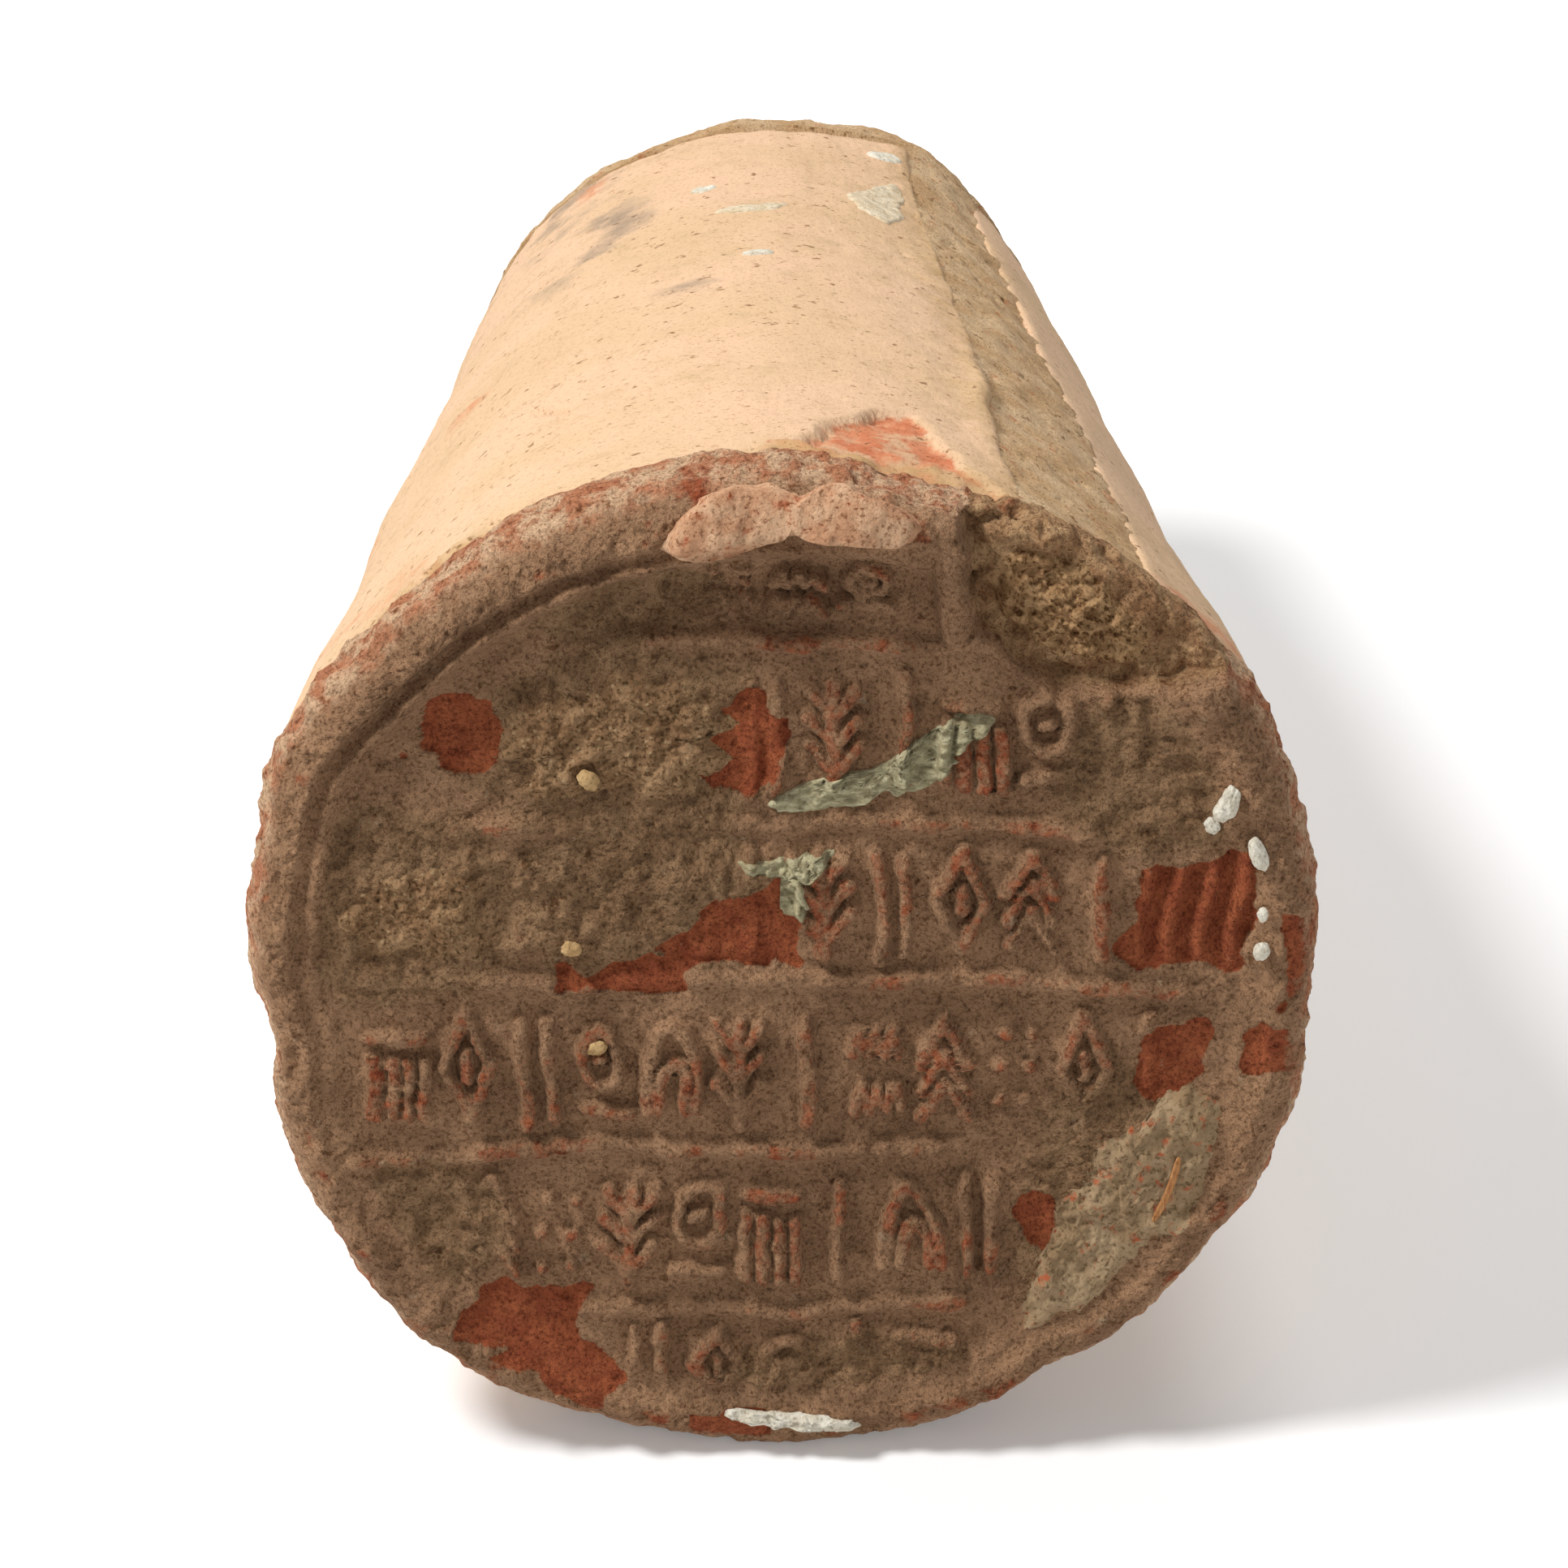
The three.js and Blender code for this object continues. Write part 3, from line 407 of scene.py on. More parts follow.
# Spots on the face: size of a cell, seed, share of the cells that have one, least and greatest radius
FACE_SPOTS = {
    "pits": (4.2, 71, 0.35, 0.25, 0.75), "sand": (2.0, 81, 0.45, 0.2, 0.55),
    "clods": (3.2, 121, 0.5, 0.4, 1.0),
}
STAMP_EDGE = {"inside_ridge": 0.6, "over": 1.2}
WAVER = {"sway": 0.4, "shiver": 0.16}
MUD = {"full_to": 0.6, "fade": 0.6, "least": 0.6, "most": 1.15, "everywhere": 0.25, "off_rim": 1.0,
       "rim_fade": 3.0, "height": 0.5, "hides": 0.8, "sand": 0.3}
GRIT = {"plain": 0.285, "mud": 0.38, "rim": 0.475, "rim_over": 3.0}
PIT_DEPTH = 0.5
ROUND_PIT_DEPTH = 0.8
FLAKE = {"torn": 0.9, "edge": 0.35, "depth": 0.35, "smooths": 0.45}
STRIPES = {"left": 27.5, "right": 38.2, "bottom": 0.5, "fade": 1.5, "apart": 2.6, "height": 0.6, "bend": 0.6}
BREAK_EDGE = {"torn": 0.7, "width": 1.1}
BREAK_GRAIN = {"clods": 1.15, "crumbs": 0.25, "hollows": 0.5}
BEAD_LIFT = 0.4
RED_SHARE = {"marks": 0.6, "rim": 0.75}


def stamp_relief(across, up, inside_ridge, grain):
    """How far the marks and the ruled lines stand out, in millimetres."""
    aside = across + WAVER["sway"] * grain["sway_across"] + WAVER["shiver"] * grain["shiver_across"]
    above = up + WAVER["sway"] * grain["sway_up"] + WAVER["shiver"] * grain["shiver_up"]
    field = ease((inside_ridge - STAMP_EDGE["inside_ridge"]) / STAMP_EDGE["over"])
    raised = marks_relief(aside, above) * field * MARK_HEIGHT
    wear = blend(LINE_WORN_TO, 1.0, ease(0.8 + grain["line_wear"]))
    for line in RULED_LINES:
        distance, share = from_path(across, above, smooth_path(line, LINE_STEPS))
        ends = ease(LINE_ENDS * np.minimum(share, 1.0 - share))
        crest = 1.0 - ease((distance - LINE_FLAT_TOP) / LINE_HALF_WIDTH)
        raised = np.maximum(raised, LINE_HEIGHT * ends * wear * crest)
    return raised


def mud_cover(across, up, inside_crest, patchy):
    """How far mud covers the face, from 0 to 1."""
    mud = np.zeros(across.shape)
    for at_across, at_up, half_across, half_up in MUD_REGIONS:
        oval = np.hypot((across - at_across) / half_across, (up - at_up) / half_up)
        mud = np.maximum(mud, 1.0 - ease((oval - MUD["full_to"]) / MUD["fade"]))
    mud = mud * blend(MUD["least"], MUD["most"], patchy) + MUD["everywhere"] * patchy
    return np.clip(mud, 0.0, 1.0) * ease((inside_crest - MUD["off_rim"]) / MUD["rim_fade"])


def flaked_patches(across, up, torn):
    """Where the face has flaked to the red clay, and the stripes that one patch has."""
    flaked = np.zeros(across.shape)
    for outline in RED_FLAKES:
        near = inside_outline(across, up, outline) + torn
        flaked = np.maximum(flaked, ease(near / FLAKE["edge"] + 0.5))
    stripes = np.cos(2.0 * np.pi * (across + STRIPES["bend"] * np.sin(0.5 * up)) / STRIPES["apart"])
    sides = ease((across - STRIPES["left"]) / STRIPES["fade"]) * ease(STRIPES["right"] - across)
    return flaked, flaked * sides * ease((up - STRIPES["bottom"]) / STRIPES["fade"]) * stripes


def face_detail(across, up):
    """The relief that stands on the plain front, in millimetres outward, and the masks of the finish."""
    flat = np.stack([across, up, np.zeros_like(across)], axis=-1)
    grain = {name: rough(flat, *settings) for name, settings in FACE_GRAIN.items()}
    spots = {name: scattered(flat, *settings) for name, settings in FACE_SPOTS.items()}
    reach = np.hypot(across, up)
    around = np.degrees(np.arctan2(up, across))
    past_ridge = reach - ridge_radius(around)
    raised = stamp_relief(across, up, -past_ridge, grain)
    mud = mud_cover(across, up, rim_roll(around)[2] - reach, 0.5 + 0.5 * grain["mud_patches"])

    relief = raised * (1.0 - MUD["hides"] * ease(1.4 * mud - 0.3))
    relief = relief + MUD["height"] * mud * (0.55 + 0.45 * grain["mud_bumps"])
    on_rim = ease(past_ridge / GRIT["rim_over"])
    relief = relief + (GRIT["plain"] + GRIT["mud"] * mud + GRIT["rim"] * on_rim) * grain["grit"]
    relief = relief - PIT_DEPTH * spots["pits"] + MUD["sand"] * mud * spots["sand"]
    flaked, stripes = flaked_patches(across, up, FLAKE["torn"] * grain["flake_edge"])
    relief = relief * (1.0 - FLAKE["smooths"] * flaked) - FLAKE["depth"] * flaked
    relief = relief + STRIPES["height"] * stripes

    torn_edge = inside_outline(across, up, BREAK_OUTLINE) + BREAK_EDGE["torn"] * grain["break_edge"]
    broken = ease(torn_edge / BREAK_EDGE["width"] + 0.3)
    clods = BREAK_GRAIN["clods"] * grain["clods"] + BREAK_GRAIN["crumbs"] * grain["crumbs"]
    floor = break_floor(across, up) - clods + BREAK_GRAIN["hollows"] * spots["clods"]
    pits = np.zeros(across.shape)
    for at_across, at_up, radius in ROUND_PITS:
        pits = np.maximum(pits, 1.0 - ease(np.hypot(across - at_across, up - at_up) / radius - 0.3))

    worn = ease((raised - 0.35) / 0.4) * ease(0.75 + 0.9 * grain["mark_wear"]) * (1.0 - 0.8 * mud)
    outer = ease((past_ridge - 0.5) / 2.5) * ease(-0.05 + 1.1 * grain["rim_wear"])
    red = np.maximum(flaked, np.maximum(RED_SHARE["marks"] * worn, RED_SHARE["rim"] * outer))
    return relief, floor, broken, pits, mud, np.clip(red, 0.0, 1.0)


def face_surface(across, up, plain_depth):
    """The depth of the finished front, and its masks."""
    relief, floor, broken, pits, mud, red = face_detail(across, up)
    depth = plain_depth - relief
    sunk = np.maximum(depth, blend(depth, floor, broken))
    depth = np.where(broken > 0, sunk, depth) + ROUND_PIT_DEPTH * pits
    aside, share = from_path(across, up, BEAD_PATH)
    radii = np.interp(share, np.linspace(0, 1, len(BEAD_PATH)), [step[2] for step in BEAD_PATH])
    bead = BEAD_DEPTH - np.sqrt(np.maximum(radii ** 2 - aside ** 2, 0.0)) - BEAD_LIFT
    depth = np.where(aside < radii, np.minimum(depth, bead), depth)
    return depth, {"mud": mud * (1 - 0.7 * broken), "red": red * (1 - broken), "broken": broken}


# The shaft's finish: a straw slit, pits, the flaked place near the rim, stains
COAT_FLAKE = ((1.0, 83), (1.3, 66), (4, 64), (10, 68), (14, 71), (22.6, 75), (17, 86), (8, 87))
STRAW_SLIT = ((39.6, 120.5), (36.5, 118.4), (33.8, 115.5))
GREY_STAINS = ((97, 121, 16, 14), (119, 129, 14, 13), (40, 175, 12, 12), (70, 100, 8, 10), (86, 176, 18, 10))
ORANGE_STAINS = ((62, 136, 5, 5), (50, 158, 9, 8), (12, 150, 9, 22), (8, 40, 7, 16), (121, 125, 6, 6))
# The shaft's noise and outlines are laid out on one middle radius, where a degree is about this long
NOISE_RADIUS = 36.0
DEGREE_MM = 0.66


def shaft_points(along, around):
    along, angle = np.broadcast_arrays(along, np.radians(around))
    return np.stack([NOISE_RADIUS * np.cos(angle), along, NOISE_RADIUS * np.sin(angle)], axis=-1)


# Noise on the coat, as on the face; the wiped one is drawn out along the shaft
COAT_GRAIN = {
    "rim_edge": (9.0, 3, 201), "swell": (11.0, 3, 211), "fine": (0.9, 2, 231), "coarse": (2.2, 4, 241, 0.6),
    "flake_edge": (3.5, 3, 261), "flake_floor": (2.4, 4, 271, 0.6), "grey": (7.0, 4, 281),
    "orange": (5.0, 4, 291), "red": (3.0, 4, 301),
}
WIPED_GRAIN = (3.0, 3, 221)
WIPED_ALONG = 0.22
COAT_PITS = (4.4, 251, 0.4, 0.2, 0.65)
COAT_HEIGHT = {"swell": 0.14, "wiped": 0.1, "fine": 0.035, "rim": 0.55, "beside": 0.2}
COAT_PIT_DEPTH = {"plain": 0.18, "beside": 0.4, "rim": 0.3}
COARSE_RIM = {"to": 6.0, "torn": 2.5, "over": 5.0}
BESIDE_SEAM = {"at": 60.0, "spread": 13.0}
SLIT = {"half_width": 0.12, "edge": 0.35, "depth": 0.8}
COAT_FLAKED = {"torn": 1.1, "edge": 0.6, "depth": 0.75, "rough": 0.35}


def stains(along, around, places):
    shade = np.zeros(np.broadcast(along, around).shape)
    for at, angle, over, spread in places:
        shade = np.maximum(shade, bump(along - at, over) * bump(turn_from(around, angle), spread))
    return shade


def coat_detail(along, around):
    """The relief of the outside of the shaft, outward in millimetres, and the masks of its finish."""
    place = shaft_points(along, around)
    grain = {name: rough(place, *settings) for name, settings in COAT_GRAIN.items()}
    wiped = rough(place * np.array([1.0, WIPED_ALONG, 1.0]), *WIPED_GRAIN)
    turn = DEGREE_MM * turn_from(around, 0.0)
    rim = 1.0 - ease((along - COARSE_RIM["to"] - COARSE_RIM["torn"] * grain["rim_edge"]) / COARSE_RIM["over"])
    beside = bump(turn_from(around, BESIDE_SEAM["at"]), BESIDE_SEAM["spread"])
    relief = COAT_HEIGHT["swell"] * grain["swell"] + COAT_HEIGHT["wiped"] * wiped
    relief = relief + COAT_HEIGHT["fine"] * grain["fine"]
    relief = relief + (COAT_HEIGHT["rim"] * rim + COAT_HEIGHT["beside"] * beside) * grain["coarse"]
    pit_depth = COAT_PIT_DEPTH["plain"] + COAT_PIT_DEPTH["beside"] * beside + COAT_PIT_DEPTH["rim"] * rim
    relief = relief - pit_depth * scattered(place, *COAT_PITS)
    slit, _ = from_path(along, turn, [(a, DEGREE_MM * b) for a, b in STRAW_SLIT])
    cut = 1.0 - ease((slit - SLIT["half_width"]) / SLIT["edge"])
    near = inside_outline(along, turn, [(a, DEGREE_MM * b) for a, b in COAT_FLAKE])
    flaked = ease((near + COAT_FLAKED["torn"] * grain["flake_edge"]) / COAT_FLAKED["edge"] + 0.5)
    flake_floor = COAT_FLAKED["rough"] * grain["flake_floor"] - COAT_FLAKED["depth"]
    relief = relief - SLIT["depth"] * cut + flaked * flake_floor
    grey = stains(along, around, GREY_STAINS) * ease(0.6 + 0.8 * grain["grey"])
    orange = 0.75 * stains(along, around, ORANGE_STAINS) * ease(0.5 + grain["orange"])
    red = np.maximum(0.8 * flaked, rim * ease(0.25 + 0.9 * grain["red"]))
    return relief, {"grey": grey, "orange": orange, "red": red, "coarse": np.clip(beside + rim + cut, 0, 1)}


# Meshes
def laid_down(points):
    """From the cone's own frame to where the cone lies, in metres, kept within the object's box."""
    across, along, up = points[..., 0], points[..., 1], points[..., 2]
    lying = np.stack([
        across + FACE_CENTRE["x"],
        along * math.cos(TILT) + up * math.sin(TILT) + FACE_CENTRE["y"],
        up * math.cos(TILT) - along * math.sin(TILT) + REST_HEIGHT,
    ], axis=-1) * MM
    return np.clip(lying, CAD_BOX[0], CAD_BOX[1])


def grid_quads(rows, columns, wrap=False, start=0):
    i, j = np.meshgrid(np.arange(rows - 1), np.arange(columns if wrap else columns - 1), indexing="ij")
    beside = (j + 1) % columns
    corners = [i * columns + j, i * columns + beside, (i + 1) * columns + beside, (i + 1) * columns + j]
    return start + np.stack(corners, axis=-1).reshape(-1, 4)


def fan(ring, tip):
    return np.stack([np.full(len(ring), tip), ring, np.roll(ring, -1)], axis=-1)


def zipped(first, second, first_at, second_at):
    """Triangles between two rows of points, whose places along the row may differ."""
    triangles = []
    i = j = 0
    while i < len(first) - 1 or j < len(second) - 1:
        first_done = i == len(first) - 1
        second_done = j == len(second) - 1
        if second_done or (not first_done and first_at[i + 1] <= second_at[j + 1]):
            triangles.append((first[i], first[i + 1], second[j]))
            i += 1
        else:
            triangles.append((first[i], second[j + 1], second[j]))
            j += 1
    return np.array(triangles).reshape(-1, 3)


def make_piece(name, points, quads, triangles, nodes, material, masks=None):
    """A closed mesh from points in the cone's frame, which stands for CAD nodes and rides on the cone."""
    flat = laid_down(points.reshape(-1, 3))
    sides = np.concatenate([quads.reshape(-1), triangles.reshape(-1)]).astype(np.int32)
    totals = np.concatenate([np.full(len(quads), 4), np.full(len(triangles), 3)]).astype(np.int32)
    starts = np.concatenate([[0], np.cumsum(totals)[:-1]]).astype(np.int32)
    mesh = bpy.data.meshes.new(name)
    mesh.vertices.add(len(flat))
    mesh.vertices.foreach_set("co", flat.reshape(-1).astype(np.float32))
    mesh.loops.add(len(sides))
    mesh.loops.foreach_set("vertex_index", sides)
    mesh.polygons.add(len(totals))
    mesh.polygons.foreach_set("loop_start", starts)
    mesh.polygons.foreach_set("use_smooth", np.ones(len(totals), dtype=bool))
    for mask, values in (masks or {}).items():
        attribute = mesh.attributes.new(mask, "FLOAT", "POINT")
        attribute.data.foreach_set("value", np.asarray(values, dtype=np.float32).reshape(-1))
    mesh.update(calc_edges=True)
    mesh.validate()
    point_out(mesh)
    mesh.materials.append(material)
    piece = bpy.data.objects.new(name, mesh)
    bpy.context.scene.collection.objects.link(piece)
    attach(piece, "root")
    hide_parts(*nodes)
    return piece


def point_out(mesh):
    work = bmesh.new()
    work.from_mesh(mesh)
    bmesh.ops.recalc_face_normals(work, faces=work.faces)
    if work.calc_volume(signed=True) < 0:
        bmesh.ops.reverse_faces(work, faces=work.faces)
    work.to_mesh(mesh)
    work.free()


def capped_tube(name, rings, first_tip, last_tip, node, material):
    """A closed piece from rings of points, with a tip at each end."""
    rows, columns = rings.shape[:2]
    index = np.arange(rows * columns).reshape(rows, columns)
    points = np.concatenate([rings.reshape(-1, 3), [first_tip, last_tip]])
    ends = np.concatenate([fan(index[0], len(points) - 2), fan(index[-1], len(points) - 1)])
    make_piece(name, points, grid_quads(rows, columns, wrap=True), ends, [node], material)


# Materials: each has its own mix of clays, grain and bump. Sizes are in millimetres, colours in sRGB levels
WHITE = (1.0, 1.0, 1.0, 1.0)


def linear(*levels):
    shares = [level / 255.0 for level in levels]
    return (*[s / 12.92 if s <= 0.04045 else ((s + 0.055) / 1.055) ** 2.4 for s in shares], 1.0)


def feed(tree, node, inputs):
    """Links each input to the socket given for it, or sets its value."""
    for name, value in inputs.items():
        if isinstance(value, bpy.types.NodeSocket):
            tree.links.new(value, node.inputs[name])
        else:
            node.inputs[name].default_value = value


def add_node(tree, kind, inputs, output=0, **settings):
    """Adds a shader node and returns one of its outputs."""
    node = tree.nodes.new("ShaderNode" + kind)
    for name, value in settings.items():
        setattr(node, name, value)
    feed(tree, node, inputs)
    return node.outputs[output]


class Finish:
    """Adds and joins the nodes of one material."""

    def __init__(self, name, roughness, specular=0.2):
        self.material = bpy.data.materials.new(name)
        self.material.use_nodes = True
        self.tree = self.material.node_tree
        self.surface = self.tree.nodes["Principled BSDF"]
        feed(self.tree, self.surface, {"Roughness": roughness, "Specular IOR Level": specular})
        self.place = self.add("TexCoord", {}, "Object")

    def add(self, kind, inputs, output=0, **settings):
        return add_node(self.tree, kind, inputs, output, **settings)

    def noise(self, size, detail=4.0, roughness=0.6, stretch=None):
        place = self.add("Mapping", {"Scale": stretch, "Vector": self.place}) if stretch else self.place
        grain = {"Scale": 1.0 / (size * MM), "Detail": detail, "Roughness": roughness}
        return self.add("TexNoise", {**grain, "Vector": place})

    def cells(self, size):
        return self.add("TexVoronoi", {"Scale": 1.0 / (size * MM), "Vector": self.place}, "Distance")

    def between(self, value, low, high, least=0.0, most=1.0):
        inputs = {"Value": value, "From Min": low, "From Max": high, "To Min": least, "To Max": most}
        return self.add("MapRange", inputs, interpolation_type="SMOOTHSTEP")

    def sum(self, first, second, operation="ADD"):
        return self.add("Math", {0: first, 1: second}, operation=operation)

    def mix(self, share, first, second, kind="MIX"):
        return self.add("Mix", {0: share, 6: first, 7: second}, 2, data_type="RGBA", blend_type=kind)

    def torn(self, name, size, low, high):
        """A mask whose edge is broken up by fine noise."""
        mask = self.add("Attribute", {}, "Fac", attribute_name=name)
        spread = self.sum(self.sum(self.noise(size, 3.0), 0.5, "SUBTRACT"), 0.9, "MULTIPLY")
        return self.between(self.sum(mask, spread), low, high)

    def blended(self, size, first, second, low=0.35, high=0.65):
        """Two colours in soft patches."""
        return self.mix(self.between(self.noise(size), low, high), linear(*first), linear(*second))

    def speckle(self, colour, size, low, high, dark):
        grain = self.between(self.noise(size, 2.0, 0.7), low, high)
        return self.mix(grain, colour, linear(*dark), "MULTIPLY")

    def done(self, colour, heights):
        """The material, with a bump for each height and how far it stands out."""
        look = {"Base Color": colour}
        for height, distance in heights:
            inputs = {"Distance": distance * MM, "Strength": 1.0, "Height": height}
            if "Normal" in look:
                inputs["Normal"] = look["Normal"]
            look["Normal"] = self.add("Bump", inputs)
        feed(self.tree, self.surface, look)
        return self.material


def face_finish():
    f = Finish("stamped_clay", 0.93)
    mud = f.blended(3.0, (146, 112, 80), (172, 136, 100))
    rim = f.blended(2.2, (232, 192, 154), (204, 136, 98), 0.4, 0.6)
    sandy = f.blended(2.4, (206, 166, 122), (170, 126, 88))
    red = f.blended(1.6, (186, 104, 66), (158, 80, 50), 0.3, 0.7)
    colour = f.mix(f.torn("mud", 1.4, 0.2, 0.7), f.blended(7.0, (188, 146, 110), (162, 124, 92)), mud)
    colour = f.mix(f.torn("rim", 1.6, 0.25, 0.9), colour, rim)
    colour = f.mix(f.torn("broken", 1.2, 0.3, 0.8), colour, sandy)
    colour = f.mix(f.torn("red", 0.9, 0.35, 0.75), colour, red)
    pale = f.between(f.noise(2.4, 5.0, 0.75), 0.63, 0.72, 0.0, 0.5)
    colour = f.mix(pale, colour, linear(198, 172, 140))
    colour = f.speckle(colour, 0.35, 0.42, 0.75, (172, 160, 150))
    colour = f.speckle(colour, 1.1, 0.6, 0.74, (190, 176, 160))
    return f.done(colour, ((f.noise(1.1, 5.0, 0.75), 0.85), (f.noise(0.25, 3.0, 0.7), 0.2)))


def coat_finish():
    f = Finish("smoothed_coat", 0.85, 0.3)
    creams = linear(228, 190, 154), linear(220, 184, 144)
    colour = f.mix(f.between(f.noise(16.0, 3.0), 0.35, 0.65), *creams)
    colour = f.mix(f.between(f.noise(5.0, 5.0, 0.7), 0.5, 0.75, 0.0, 0.6), colour, linear(196, 164, 122))
    colour = f.mix(f.torn("grey", 3.0, 0.2, 1.0), colour, linear(168, 144, 120))
    colour = f.mix(f.torn("orange", 2.0, 0.25, 1.0), colour, linear(214, 140, 98))
    red = f.blended(1.6, (212, 138, 98), (194, 112, 74), 0.3, 0.7)
    red = f.mix(f.between(f.noise(2.6), 0.45, 0.62), red, linear(214, 170, 132))
    colour = f.mix(f.torn("red", 1.2, 0.35, 0.8), colour, red)
    colour = f.mix(f.torn("coarse", 2.2, 0.5, 1.3), colour, linear(196, 160, 112))
    colour = f.speckle(colour, 0.4, 0.52, 0.8, (206, 190, 172))
    colour = f.speckle(colour, 1.3, 0.62, 0.74, (176, 158, 138))
    brushed = f.noise(0.7, 4.0, 0.6, stretch=(1.0, 0.25, 1.0))
    return f.done(colour, ((brushed, 0.1), (f.noise(0.22, 3.0, 0.7), 0.07)))


def core_finish():
    f = Finish("coarse_core", 0.95)
    colour = f.blended(5.0, (228, 194, 152), (210, 170, 124))
    colour = f.mix(f.between(f.noise(2.2, 4.0, 0.7), 0.58, 0.7), colour, linear(206, 142, 100))
    colour = f.speckle(colour, 0.5, 0.55, 0.75, (190, 170, 146))
    colour = f.speckle(colour, 1.4, 0.62, 0.74, (176, 156, 134))
    return f.done(colour, ((f.noise(1.0, 5.0, 0.7), 0.4), (f.noise(0.25, 3.0, 0.7), 0.12)))


def lip_finish():
    f = Finish("folded_rim_clay", 0.93)
    colour = f.blended(3.0, (200, 150, 114), (218, 176, 140), 0.4, 0.6)
    colour = f.mix(f.between(f.noise(1.6), 0.56, 0.7), colour, linear(186, 112, 76))
    colour = f.speckle(colour, 0.4, 0.48, 0.75, (170, 150, 134))
    return f.done(colour, ((f.noise(0.9, 5.0, 0.7), 0.35), (f.noise(0.25, 3.0, 0.7), 0.12)))


def mud_finish():
    f = Finish("dried_mud", 0.96, 0.1)
    sand = f.sum(f.between(f.cells(0.7), 0.12, 0.3, 1.0, 0.0), 0.5, "MULTIPLY")
    colour = f.mix(sand, f.blended(3.0, (144, 110, 78), (170, 136, 100)), linear(192, 168, 128))
    colour = f.speckle(colour, 0.4, 0.45, 0.72, (150, 140, 128))
    return f.done(colour, ((f.noise(0.8, 5.0, 0.75), 0.4), (f.cells(0.45), 0.12)))


def corner_finish():
    f = Finish("sandy_corner_mud", 0.96, 0.1)
    sand = f.blended(2.0, (196, 158, 114), (164, 126, 88))
    colour = f.speckle(sand, 0.5, 0.45, 0.7, (160, 146, 128))
    return f.done(colour, ((f.noise(0.8, 5.0, 0.75), 0.5), (f.cells(0.45), 0.12)))


def smear_finish():
    f = Finish("smeared_mud", 0.9, 0.15)
    colour = f.blended(4.0, (150, 124, 92), (172, 147, 114))
    colour = f.mix(f.between(f.noise(1.4), 0.56, 0.68), colour, linear(176, 96, 62))
    colour = f.speckle(colour, 0.4, 0.48, 0.75, (168, 156, 142))
    return f.done(colour, ((f.noise(1.2), 0.2), (f.noise(0.25, 3.0), 0.08)))


def pale_finish(name, first, second, grain, stretch=None):
    f = Finish(name, 0.88, 0.25)
    shade = f.between(f.noise(1.2, 4.0, 0.65, stretch), 0.35, 0.65)
    colour = f.mix(shade, linear(*first), linear(*second))
    colour = f.speckle(colour, 0.35, 0.5, 0.8, (186, 176, 160))
    return f.done(colour, ((f.noise(grain, 4.0, 0.65, stretch), 0.25), (f.noise(0.2, 3.0), 0.06)))


# How far the relief's middle lies below the solids' surface, so that its peaks stay near it
SUNK = 0.15

# The stamped face: a disc grid that runs out over the rim and back along the side of the pad
FACE_CELLS = 308
RIM_TONE = {"from": 0.8, "over": 0.12, "share": 0.55}
RED_LOST_ON_ROLL = 0.5
MUD_LOST_ON_ROLL = 0.85


def disc_grid(cells):
    line = np.linspace(-1.0, 1.0, cells + 1)
    s, t = np.meshgrid(line, line, indexing="ij")
    wide = np.abs(s) >= np.abs(t)
    radius = np.where(wide, s, t)
    with np.errstate(divide="ignore", invalid="ignore"):
        turn = np.where(wide, np.pi / 4 * t / s, np.pi / 2 - np.pi / 4 * s / t)
    turn = np.where(radius == 0, 0.0, turn)
    x, y = radius * np.cos(turn), radius * np.sin(turn)
    return np.hypot(x, y), np.degrees(np.arctan2(y, x))


def stamped_face(material):
    share, around = disc_grid(FACE_CELLS)
    angle = np.radians(around)
    roll_depth, roll_drop, crest = rim_roll(around)
    roll_length = np.pi / 2 * np.sqrt((roll_depth ** 2 + roll_drop ** 2) / 2)
    run = share * (crest + roll_length + PAD_BACK - roll_depth)
    turn = np.clip((run - crest) / roll_length, 0.0, 1.0) * np.pi / 2
    beyond = np.maximum(run - crest - roll_length, 0.0)
    side_depth = roll_depth + beyond
    reach = np.where(run < crest, run, crest + roll_drop * np.sin(turn))
    reach = np.where(beyond > 0, shaft_radius(side_depth, around), reach)
    across, up = reach * np.cos(angle), reach * np.sin(angle)
    plain = np.where(run < crest, front_depth(across, up), roll_depth * (1 - np.cos(turn)))
    plain = np.where(beyond > 0, side_depth, plain)
    front, masks = face_surface(across, up, plain)
    relief, coat_masks = coat_detail(plain, around)

    # On the roll the front's relief fades into the shaft's
    over = np.sin(turn) ** 2
    on_front = np.where(masks["broken"] > 0.02, 1.0, 1.0 - over)
    reach = reach + over * (relief - SUNK)
    depth = plain - (plain - front) * on_front
    points = np.stack([reach * np.cos(angle) + SHAFT_LEAN * depth, depth, reach * np.sin(angle)], axis=-1)
    red = np.clip(blend(masks["red"], coat_masks["red"], over), 0, 1)
    masks["red"] = red * (1 - RED_LOST_ON_ROLL * over)
    masks["mud"] = masks["mud"] * (1 - MUD_LOST_ON_ROLL * over)
    near_rim = RIM_TONE["share"] * ease((share - RIM_TONE["from"]) / RIM_TONE["over"])
    masks["rim"] = np.maximum(over, near_rim)

    count = FACE_CELLS + 1
    index = np.arange(count * count).reshape(count, count)
    edge = np.concatenate([index[0, :-1], index[:-1, -1], index[-1, :0:-1], index[:0:-1, 0]])
    points = np.concatenate([points.reshape(-1, 3), [[0.0, PAD_BACK, 0.0]]])
    masks = {name: np.append(values.reshape(-1), 0.0) for name, values in masks.items()}
    back = fan(edge, count * count)
    make_piece("stamped_face_clay", points, grid_quads(count, count), back, ["stamped_face"],
               material, masks)


